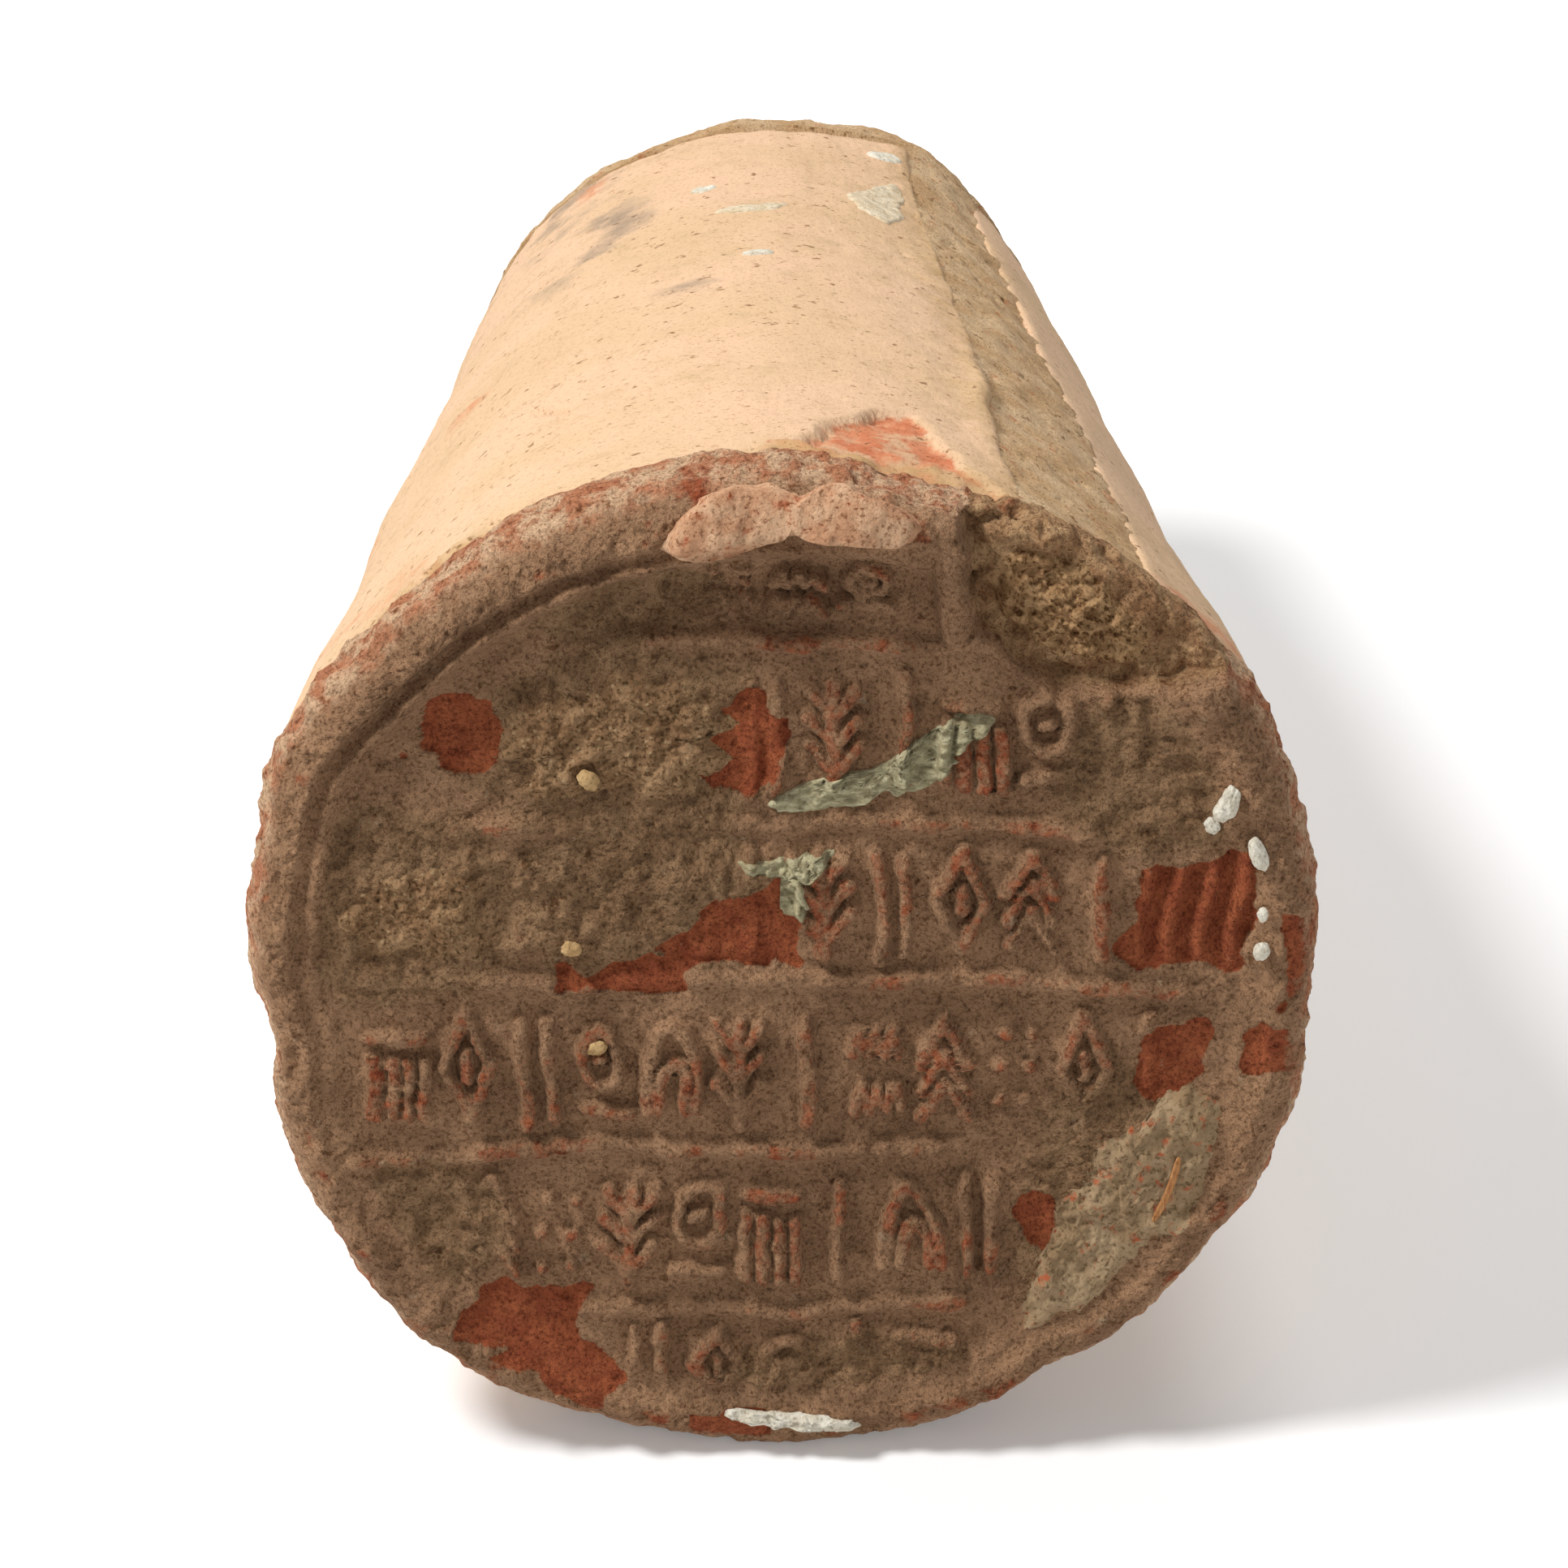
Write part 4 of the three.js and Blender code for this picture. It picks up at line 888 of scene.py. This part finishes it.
# The coat: the outside as a fine grid, the inside as a coarse one, joined round the edges
SEAM_WOBBLE = {"by": 0.5, "size": 5.0, "seed": 401}
START_WOBBLE = {"by": 0.6, "size": 6.0, "seed": 411, "from": 50.0}
COAT_ROWS = 240
COAT_TURN = 344.5
# Columns of the outside: from and to in degrees past the seam, and how many
COAT_COLUMNS = ((0.0, 2.5, 12), (2.5, 128.0, 190), (128.0, 288.0, 84), (288.0, COAT_TURN, 84))
INNER_COLUMNS = 26
COAT_OVER_PAD = 0.35
# The crest of the lap, in degrees past the seam
LAP = {"at": 1.6, "spread": 1.7}
# Edges of the coat: how far they round off in millimetres, and over what width
SEAM_EDGE = {"by": 0.35, "spread": 0.5}
START_EDGE = {"by": 0.3, "spread": 0.6}
TAIL_EDGE = {"by": 0.5, "spread": 0.8}
PAD_EDGE = {"by": 0.25, "spread": 0.35}


def seam_angle(along):
    line = np.stack([along, 0 * along, 0 * along], axis=-1)
    wobble = SEAM_WOBBLE["by"] * smooth_noise(line, SEAM_WOBBLE["size"], SEAM_WOBBLE["seed"])
    return SEAM_AT + SEAM_BEND["by"] * bump(along - SEAM_BEND["at"], SEAM_BEND["over"]) + wobble


def start_angle(along):
    line = along * np.array([1.0, 0.0, 0.0]) + START_WOBBLE["from"]
    wobble = START_WOBBLE["by"] * smooth_noise(line, START_WOBBLE["size"], START_WOBBLE["seed"])
    return COAT_STARTS_AT + 360.0 + wobble[:, None]


def rounded(distance, edge):
    return edge["by"] * bump(distance, edge["spread"])


def outer_coat(material):
    front = PAD_BACK - COAT_OVER_PAD
    along = np.linspace(front, COAT_END, COAT_ROWS)[:, None]
    spans = [np.linspace(first, last, count, endpoint=False) for first, last, count in COAT_COLUMNS]
    offsets = np.concatenate(spans + [[COAT_TURN]])
    seam, start = seam_angle(along), start_angle(along)
    around = blend(seam, start, offsets[None, :] / COAT_TURN)
    relief, masks = coat_detail(along, around)
    lap = SEAM_LIP * bump(around - seam - LAP["at"], LAP["spread"])
    lap = lap * bump(along - SEAM_LAP["at"], SEAM_LAP["over"])
    edges = rounded(around - seam, SEAM_EDGE) + rounded(start - around, START_EDGE)
    ends = rounded(along - COAT_END, TAIL_EDGE) + rounded(along - front, PAD_EDGE)
    outside = on_shaft(along, around, relief - SUNK + lap - edges - ends)
    inner_around = blend(seam, start, np.linspace(0, 1, INNER_COLUMNS)[None, :])
    inside = on_shaft(along, inner_around, -COAT_THICKNESS)

    columns = len(offsets)
    first = np.arange(COAT_ROWS * columns).reshape(COAT_ROWS, columns)
    second = first.size + np.arange(COAT_ROWS * INNER_COLUMNS).reshape(COAT_ROWS, INNER_COLUMNS)
    sides = [np.stack([a[:-1], a[1:], b[1:], b[:-1]], axis=-1)
             for a, b in ((first[:, 0], second[:, 0]), (first[:, -1], second[:, -1]))]
    inner_quads = grid_quads(COAT_ROWS, INNER_COLUMNS, start=first.size)
    quads = np.concatenate([grid_quads(COAT_ROWS, columns), inner_quads] + sides)
    joins = [zipped(first[row], second[row], around[row], inner_around[row]) for row in (0, -1)]
    points = np.concatenate([outside.reshape(-1, 3), inside.reshape(-1, 3)])
    hidden = np.zeros(second.size)
    masks = {name: np.concatenate([values.reshape(-1), hidden]) for name, values in masks.items()}
    make_piece("outer_coat_clay", points, quads, np.concatenate(joins), ["outer_coat"], material,
               masks)


# The core: it shows along the open strip and at the tail
CORE_ROWS = 240
STRIP_COLUMNS = 34
HIDDEN_COLUMNS = 40
TAIL_ROWS = 26
TAIL_COLUMNS = 320
CAP_SHARES = (0.93, 0.86, 0.79, 0.72, 0.65, 0.58, 0.5, 0.42, 0.34, 0.26, 0.18, 0.1, 0.04)
# Degrees that the strip runs on under the coat's edges, and past them to where the hidden part takes over
STRIP_TUCK = 1.2
HIDDEN_FROM = 2.5
HIDDEN_DROP = COAT_THICKNESS + 0.1
TAIL_FROM = COAT_END + 0.35
TAIL_TIP = 0.9
CORE_GRAIN = ((0.3, (3.0, 4, 501, 0.6)), (0.12, (12.0, 2, 511)))
CORE_HOLES = (3.0, 521, 0.45, 0.3, 0.95)
CORE_HOLE_DEPTH = 0.75
CAP_ROUGHNESS = 0.5
CAP_NOISE_AT = 9.0


def core_relief(place):
    relief = sum(height * rough(place, *settings) for height, settings in CORE_GRAIN)
    return relief - CORE_HOLE_DEPTH * scattered(place, *CORE_HOLES)


def tail_cap(ring):
    """Rings from the tail's edge in to its middle."""
    rings = []
    for share in CAP_SHARES:
        cap = ring * np.array([share, 1.0, share])
        field = np.stack([cap[..., 0], cap[..., 2], np.full(cap.shape[:2], CAP_NOISE_AT)], axis=-1)
        cap[..., 1] = LENGTH + TAIL_CROWN * ease((1.0 - share) * 1.6) + CAP_ROUGHNESS * core_relief(field)
        rings.append(cap)
    return rings


def clay_core(material):
    along = np.linspace(PAD_BACK, COAT_END + 0.2, CORE_ROWS)[:, None]
    seam = seam_angle(along)
    strip_share = np.linspace(0, 1, STRIP_COLUMNS)[None, :]
    strip = blend(COAT_STARTS_AT - STRIP_TUCK, seam + STRIP_TUCK, strip_share)
    hidden_share = np.linspace(0, 1, HIDDEN_COLUMNS)[None, :]
    hidden = blend(seam + HIDDEN_FROM, COAT_STARTS_AT + 360.0 - HIDDEN_FROM, hidden_share)
    shown = on_shaft(along, strip, core_relief(shaft_points(along, strip)) - STRIP_DROP - SUNK)
    shaft = np.concatenate([shown, on_shaft(along, hidden, -HIDDEN_DROP)], axis=1)

    tail_along = np.linspace(TAIL_FROM, LENGTH, TAIL_ROWS)[:, None]
    tail_around = np.linspace(0, 360, TAIL_COLUMNS, endpoint=False)[None, :] + COAT_STARTS_AT
    tail = on_shaft(tail_along, tail_around, core_relief(shaft_points(tail_along, tail_around)) - SUNK)
    tail = np.concatenate([tail] + tail_cap(tail[-1:]))

    columns = STRIP_COLUMNS + HIDDEN_COLUMNS
    first = np.arange(CORE_ROWS * columns).reshape(CORE_ROWS, columns)
    second = first.size + np.arange(tail.shape[0] * TAIL_COLUMNS).reshape(-1, TAIL_COLUMNS)
    shaft_at = np.concatenate([strip[-1], hidden[-1], [strip[-1, 0] + 360.0]])
    tail_at = np.append(tail_around[0], tail_around[0, 0] + 360.0)
    join = zipped(np.append(first[-1], first[-1, 0]), np.append(second[0], second[0, 0]), shaft_at, tail_at)
    tips = [[0, PAD_BACK, 0], [0, LENGTH + TAIL_TIP, 0]]
    points = np.concatenate([shaft.reshape(-1, 3), tail.reshape(-1, 3), tips])
    ends = [fan(first[0], len(points) - 2), fan(second[-1], len(points) - 1)]
    tail_quads = grid_quads(tail.shape[0], TAIL_COLUMNS, wrap=True, start=first.size)
    quads = np.concatenate([grid_quads(CORE_ROWS, columns, wrap=True), tail_quads])
    triangles = np.concatenate([join] + ends)
    make_piece("coarse_core_clay", points, quads, triangles, ["clay_core"], material)


# Patches of clay, mud, residue, plaster and lime that lie on the surface
ROOTED = {"top": 0.12, "under": 0.5}
RAGGED = {"size": 2.5, "least": -0.35, "most": 0.12}


def front_place(across, up, height):
    depth, _ = face_surface(across, up, front_depth(across, up))
    return np.stack([across, depth - height, up], axis=-1)


def shaft_place(along, around, height):
    relief, _ = coat_detail(along, around)
    return on_shaft(along, around, relief - SUNK + height)


def rolled_place(around, share, height):
    roll_depth, roll_drop, crest = rim_roll(around)
    angle = np.radians(around)
    turn = np.pi / 2 * np.minimum(share, 1.0)
    reach = crest + roll_drop * np.cos(turn) - np.maximum(share - 1, 0) * roll_drop + height * np.cos(turn)
    flat = front_depth(reach * np.cos(angle), reach * np.sin(angle))
    depth = np.where(share > 1, flat, roll_depth * (1 - np.sin(turn))) - height * np.sin(turn)
    return np.stack([reach * np.cos(angle), depth, reach * np.sin(angle)], axis=-1)


def patch(name, node, slot, outline, place, material, shape, seed, size=1.5, rings=26, columns=120,
          unit=(1.0, 1.0)):
    """A cushion of a deposit: thin at a ragged edge, with its own grain, and rooted in what carries it."""
    thickness, edge, ragged, grain = shape
    line = smooth_path(outline, columns, closed=True)
    middle = line.mean(axis=0)
    arms = line - middle
    length = np.hypot(*(arms * np.array(unit)).T)
    field = np.stack([line[:, 0] * unit[0], line[:, 1] * unit[1], 0 * length], axis=-1)
    uneven = ragged * rough(field, RAGGED["size"], 3, seed) / np.maximum(length, 1.0)
    arms = arms * (1 + np.clip(uneven, RAGGED["least"], RAGGED["most"]))[:, None]
    inward = np.linspace(0, 0.97, rings)[:, None]
    flat = middle + arms[None] * (1 - inward)[..., None]
    a, b = flat[..., 0], flat[..., 1]
    field = np.stack([a * unit[0], b * unit[1], 0 * a + seed], axis=-1)
    height = thickness * ease(inward * length[None] / edge)
    height = height * (1 + grain * rough(field, size, 4, seed + 5, 0.6))
    top = place(a, b, height - ROOTED["top"])
    under = place(a[:1], b[:1], 0 * a[:1] - ROOTED["under"])
    capped_tube(name, np.concatenate([under, top]), under[0].mean(axis=0), top[-1].mean(axis=0), node,
                material)


CORNER_MUD = (
    (17.2, 35.5), (16.6, 31.5), (19, 28), (22.5, 26), (26.5, 25.8), (29.6, 27.4), (28.6, 31), (23.5, 35),
)
UPPER_CRUST = (
    (-21.5, 16), (-13, 15.6), (-5.5, 16), (-3.4, 19), (-5, 23.5), (-9, 25.8), (-15.5, 26), (-20, 24),
    (-22, 20.5),
)
LEFT_CRUST = (
    (-35, 2.4), (-29, 1.8), (-23.5, 2), (-22.4, 5), (-24.5, 10), (-29.5, 10.8), (-33.6, 9.8), (-35.6, 6),
)
RIGHT_SMEAR = (
    (27.5, -13), (33.5, -9.5), (35.4, -13.5), (33.6, -20.5), (28.6, -26.5), (22, -31.5), (18.8, -31),
    (20.5, -24.5), (23, -18.5),
)
RESIDUE_BLADE = (
    (-0.3, 14.8), (1.3, 16.4), (6, 17.9), (9.8, 19.9), (13.6, 22.1), (16, 21.4), (13.2, 18.4), (10.6, 16),
    (5.6, 14.9),
)
RESIDUE_TONGUE = (
    (-3.7, 10), (-1.6, 11.2), (1.2, 11.7), (3.9, 11.3), (2.4, 8.4), (1.6, 5.8), (0.1, 4.5), (-0.7, 6.6),
    (-0.9, 8.8),
)
PLASTER_BAND = (
    (-4.8, -38.9), (-1.5, -39.2), (2.5, -39.4), (6.3, -39.9), (6, -40.9), (2, -40.8), (-2.4, -40.3),
    (-5, -39.7),
)
LIP_OUTLINE = (
    (103.5, 0.85), (103.5, 1.2), (99, 1.34), (93, 1.24), (87, 1.1), (81, 1.08), (76, 1.04), (74.5, 0.82),
    (77, 0.6), (84, 0.45), (92, 0.42), (99, 0.52),
)
LIME_WIDE = ((93.5, 71), (96, 76), (101, 77.4), (106, 73.5), (110.5, 68), (109, 66), (103, 66.5), (97, 67.5))
LIME_NARROW = ((91.5, 98.6), (93.6, 95), (95, 89), (94.4, 86), (92, 87), (90.4, 93))
LIME_FLECKS = (((102, 100.6), (1.6, 2.6)), ((121, 67.6), (1.3, 3.2)), ((74, 92), (1.0, 2.6)))
FLECK_OUTLINE = ((-1, 0.2), (-0.4, 1), (0.5, 0.8), (1, -0.1), (0.6, -0.9), (-0.5, -0.8))
SHAFT_UNIT = (1.0, DEGREE_MM)
LIP_UNIT = (DEGREE_MM, 4.0)
# Patches on the front: piece, node, slot, outline, finish, then thickness, width of the thin edge, how ragged
# the edge is and how rough the top, then the seed and the rest
FACE_PATCHES = (
    ("mud_in_corner", "mud_in_broken_corner", "mud", CORNER_MUD, "corner", (0.9, 2.0, 1.2, 0.8), 601,
     {"size": 1.1, "rings": 40, "columns": 180}),
    ("mud_crust_above", "mud_crust_upper", "mud", UPPER_CRUST, "mud", (0.75, 2.5, 1.8, 0.5), 611,
     {"rings": 44, "columns": 170}),
    ("mud_crust_aside", "mud_crust_left", "mud", LEFT_CRUST, "mud", (0.7, 2.2, 1.6, 0.5), 621,
     {"rings": 34, "columns": 140}),
    ("mud_smear", "mud_smear_right", "mud", RIGHT_SMEAR, "smear", (0.8, 3.0, 1.2, 0.3), 631,
     {"size": 4.0, "rings": 44, "columns": 170}),
    ("residue_over_line", "residue_blade", "residue", RESIDUE_BLADE, "residue", (0.45, 0.5, 2.6, 0.9), 641,
     {"size": 0.9, "rings": 30, "columns": 160}),
    ("residue_under_line", "residue_tongue", "residue", RESIDUE_TONGUE, "residue", (0.45, 0.5, 2.0, 0.9), 651,
     {"size": 0.9, "rings": 30}),
    ("plaster_along_bottom", "plaster_band_bottom", "plaster", PLASTER_BAND, "plaster", (0.55, 0.4, 0.7, 0.5),
     661, {"size": 1.0}),
)


def deposits(plaster):
    residue = pale_finish("dried_residue", (198, 190, 154), (158, 146, 112), 0.5, (0.6, 1.0, 2.4))
    finishes = {"mud": mud_finish(), "corner": corner_finish(), "smear": smear_finish(), "residue": residue,
                "plaster": plaster}
    for name, node, slot, outline, finish, shape, seed, rest in FACE_PATCHES:
        patch(name, node, slot, outline, front_place, finishes[finish], shape, seed, **rest)
    lime = pale_finish("lime_film", (228, 212, 184), (212, 190, 156), 0.9)
    patch("lime_wide", "lime_patch_wide", "lime", LIME_WIDE, shaft_place, lime, (0.32, 0.8, 1.2, 0.2), 671,
          unit=SHAFT_UNIT)
    patch("lime_narrow", "lime_patch_narrow", "lime", LIME_NARROW, shaft_place, lime, (0.3, 0.8, 0.8, 0.2),
          681, unit=SHAFT_UNIT)
    for i, ((along, around), (run, turn)) in enumerate(LIME_FLECKS):
        outline = [(along + a * run, around + b * turn) for a, b in FLECK_OUTLINE]
        patch(f"lime_spot_{i + 1}", f"lime_fleck_{i + 1}", "lime", outline, shaft_place, plaster,
              (0.3, 0.4, 0.6, 0.3), 691 + 7 * i, rings=10, columns=40, unit=SHAFT_UNIT)
    patch("lip_fold", "folded_lip", "rim_clay", LIP_OUTLINE, rolled_place, lip_finish(), (1.9, 1.1, 0.7, 0.4),
          731, size=3.6, rings=36, columns=220, unit=LIP_UNIT)


# Lumps: a fine ball, dented by noise, at the place and turn of its solid
BALL_DIVISIONS = 5
DENTS = {"by": 0.2, "spread": 3.0, "size": 2.4}
LUMP_SEATED = 0.6
LUMP_LIFT = 0.35
CRUST_LIFT = 1.1
# Place across and up, half sizes across, out and up, and turn in degrees
PLASTER_LUMPS = (
    ((35.2, 15.4), (0.9, 0.7, 1.6), 18), ((34.0, 13.2), (0.8, 0.4, 0.6), 60),
    ((37.6, 11.2), (0.7, 0.5, 1.5), -14), ((38.2, 5.8), (0.45, 0.35, 0.6), 0),
    ((38.1, 2.6), (0.7, 0.45, 0.8), 30),
)
GRITS = (((-17.0, 2.8), (0.8, 0.5, 0.6), 10), ((-15.1, -5.9), (1.1, 0.55, 0.7), -15),
         ((-15.5, 17.5), (0.9, 0.45, 0.8), 40))
GRIT_ON_CRUST = 2


def ball_mesh():
    work = bmesh.new()
    bmesh.ops.create_icosphere(work, subdivisions=BALL_DIVISIONS, radius=1.0)
    points = np.array([vertex.co[:] for vertex in work.verts])
    triangles = np.array([[vertex.index for vertex in face.verts] for face in work.faces])
    work.free()
    return points, triangles


def lump(name, node, material, at, half_sizes, turn, lift, seed):
    ball, triangles = ball_mesh()
    dents = DENTS["by"] * rough(ball * DENTS["spread"] + seed, DENTS["size"], 3, seed)
    dented = ball * (1 + dents)[:, None] * np.array(half_sizes)
    angle = math.radians(turn)
    across = dented[:, 0] * math.cos(angle) + dented[:, 2] * math.sin(angle)
    up = dented[:, 2] * math.cos(angle) - dented[:, 0] * math.sin(angle)
    carried = front_depth(np.array([float(at[0])]), np.array([float(at[1])]))[0]
    depth = carried - lift - LUMP_SEATED * half_sizes[1] + dented[:, 1]
    points = np.stack([at[0] + across, depth, at[1] + up], axis=-1)
    make_piece(name, points, np.zeros((0, 4), dtype=int), triangles, [node], material)


def lumps(plaster):
    for i, (at, half_sizes, turn) in enumerate(PLASTER_LUMPS):
        lump(f"plaster_crumb_{i + 1}", f"plaster_lump_{i + 1}", plaster, at, half_sizes, turn,
             LUMP_LIFT, 801 + 9 * i)
    limestone = pale_finish("limestone_grit", (206, 172, 122), (184, 148, 100), 0.5)
    for i, (at, half_sizes, turn) in enumerate(GRITS):
        lift = CRUST_LIFT if i == GRIT_ON_CRUST else LUMP_LIFT
        lump(f"grit_{i + 1}", f"limestone_grit_{i + 1}", limestone, at, half_sizes, turn, lift,
             861 + 9 * i)


# The straw sliver: a split tube with a groove along it, lying on the smear
STRAW = {"length": 6.2, "width": 0.6, "at": (30.9, -18.6), "turn": 19.0, "lift": 1.15, "bend": 0.25,
         "groove": 0.35, "groove_spread": 0.35, "flat": 0.7, "end": 0.25}
STRAW_RINGS = 60
STRAW_SIDES = 20


def straw_sliver():
    along = np.linspace(-0.5, 0.5, STRAW_RINGS)[:, None]
    turn = np.linspace(0, 2 * np.pi, STRAW_SIDES, endpoint=False)[None, :]
    blunt = np.sqrt(np.clip(1 - (2.02 * along) ** 6, 0, 1))
    half = STRAW["width"] / 2 * blend(STRAW["end"], 1.0, blunt)
    groove = 1 - STRAW["groove"] * bump(turn - np.pi / 2, STRAW["groove_spread"])
    aside = half * groove * np.cos(turn) + STRAW["bend"] * np.cos(np.pi * along)
    height = STRAW["flat"] * half * groove * np.sin(turn)
    length = STRAW["length"] * along + 0 * turn
    angle = math.radians(STRAW["turn"])
    across = STRAW["at"][0] + aside * math.cos(angle) + length * math.sin(angle)
    up = STRAW["at"][1] + length * math.cos(angle) - aside * math.sin(angle)
    below_across, below_up = across[:, :1], up[:, :1]
    carried, _ = face_surface(below_across, below_up, front_depth(below_across, below_up))
    rings = np.stack([across, carried.mean() - STRAW["lift"] - height, up], axis=-1)
    straw = pale_finish("dry_straw", (206, 150, 96), (180, 120, 72), 0.5, (4.0, 0.5, 0.5))
    capped_tube("straw_splinter", rings, rings[0].mean(axis=0), rings[-1].mean(axis=0),
                "straw_sliver", straw)


# Floor, light and camera
CAMERA = {"at": (-0.004472, -0.587471, 0.378904), "forward": (0.00737, 0.85429, -0.51974)}
FOCAL_PIXELS = 9549.0
FRAME_PIXELS = 1932.0
SENSOR_WIDTH = 36.0
KEY_LIGHT = {"towards": (-0.55, -0.14, 0.8), "distance": 0.75, "size": 0.2, "power": 5.0}
BACK_LIGHT = {"towards": (0.1, 0.65, 0.75), "distance": 0.8, "size": 0.3, "power": 2.2}
FILL_LIGHT = {"towards": (0.35, -0.85, 0.4), "distance": 0.9, "size": 0.7, "power": 0.7}
AMBIENT = 0.27
FLOOR_LIFT = 0.16
FLOOR_HALF = 3.0
FLOOR_TONE = (0.93, 0.93, 0.93, 1.0)
AIM = Vector((0.0, -0.03, 0.045))


def add_light(name, settings):
    lamp = bpy.data.lights.new(name, "AREA")
    lamp.shape = "DISK"
    lamp.size = settings["size"]
    lamp.energy = settings["power"]
    light = bpy.data.objects.new(name, lamp)
    direction = Vector(settings["towards"]).normalized()
    light.location = AIM + direction * settings["distance"]
    light.rotation_euler = direction.to_track_quat("Z", "Y").to_euler()
    bpy.context.scene.collection.objects.link(light)


def light_room(scene):
    """White to the camera, and a soft even light for everything else."""
    world = bpy.data.worlds.new("pale_room")
    world.use_nodes = True
    tree = world.node_tree
    seen = add_node(tree, "LightPath", {}, "Is Camera Ray")
    strength = add_node(tree, "MapRange", {"To Min": AMBIENT, "To Max": 1.0, "Value": seen})
    feed(tree, tree.nodes["Background"], {"Strength": strength, "Color": WHITE})
    scene.world = world
    add_light("key", KEY_LIGHT)
    add_light("back", BACK_LIGHT)
    add_light("fill", FILL_LIGHT)


def lay_floor(scene):
    """A white floor that keeps the shadow and is lifted a little for the camera alone."""
    mesh = bpy.data.meshes.new("floor")
    corners = [(x * FLOOR_HALF, y * FLOOR_HALF, 0) for x, y in ((-1, -1), (1, -1), (1, 1), (-1, 1))]
    mesh.from_pydata(corners, [], [(0, 1, 2, 3)])
    paper = bpy.data.materials.new("white_floor")
    paper.use_nodes = True
    tree = paper.node_tree
    seen = add_node(tree, "LightPath", {}, "Is Camera Ray")
    lift = add_node(tree, "Math", {0: seen, 1: FLOOR_LIFT}, operation="MULTIPLY")
    feed(tree, tree.nodes["Principled BSDF"], {
        "Base Color": FLOOR_TONE, "Roughness": 0.9, "Specular IOR Level": 0.0,
        "Emission Color": WHITE, "Emission Strength": lift,
    })
    mesh.materials.append(paper)
    floor = bpy.data.objects.new("floor", mesh)
    scene.collection.objects.link(floor)


def set_camera(scene):
    lens = bpy.data.cameras.new("camera")
    lens.sensor_width = SENSOR_WIDTH
    lens.sensor_fit = "HORIZONTAL"
    lens.lens = FOCAL_PIXELS / FRAME_PIXELS * SENSOR_WIDTH
    lens.clip_start = 0.01
    lens.clip_end = 20.0
    camera = bpy.data.objects.new("camera", lens)
    camera.location = CAMERA["at"]
    camera.rotation_euler = Vector(CAMERA["forward"]).to_track_quat("-Z", "Y").to_euler()
    scene.collection.objects.link(camera)
    scene.camera = camera
    scene.view_settings.view_transform = "Standard"


light_room(bpy.context.scene)
lay_floor(bpy.context.scene)
set_camera(bpy.context.scene)
stamped_face(face_finish())
outer_coat(coat_finish())
clay_core(core_finish())
wall_plaster = pale_finish("wall_plaster", (236, 230, 214), (214, 204, 182), 0.6)
deposits(wall_plaster)
lumps(wall_plaster)
straw_sliver()
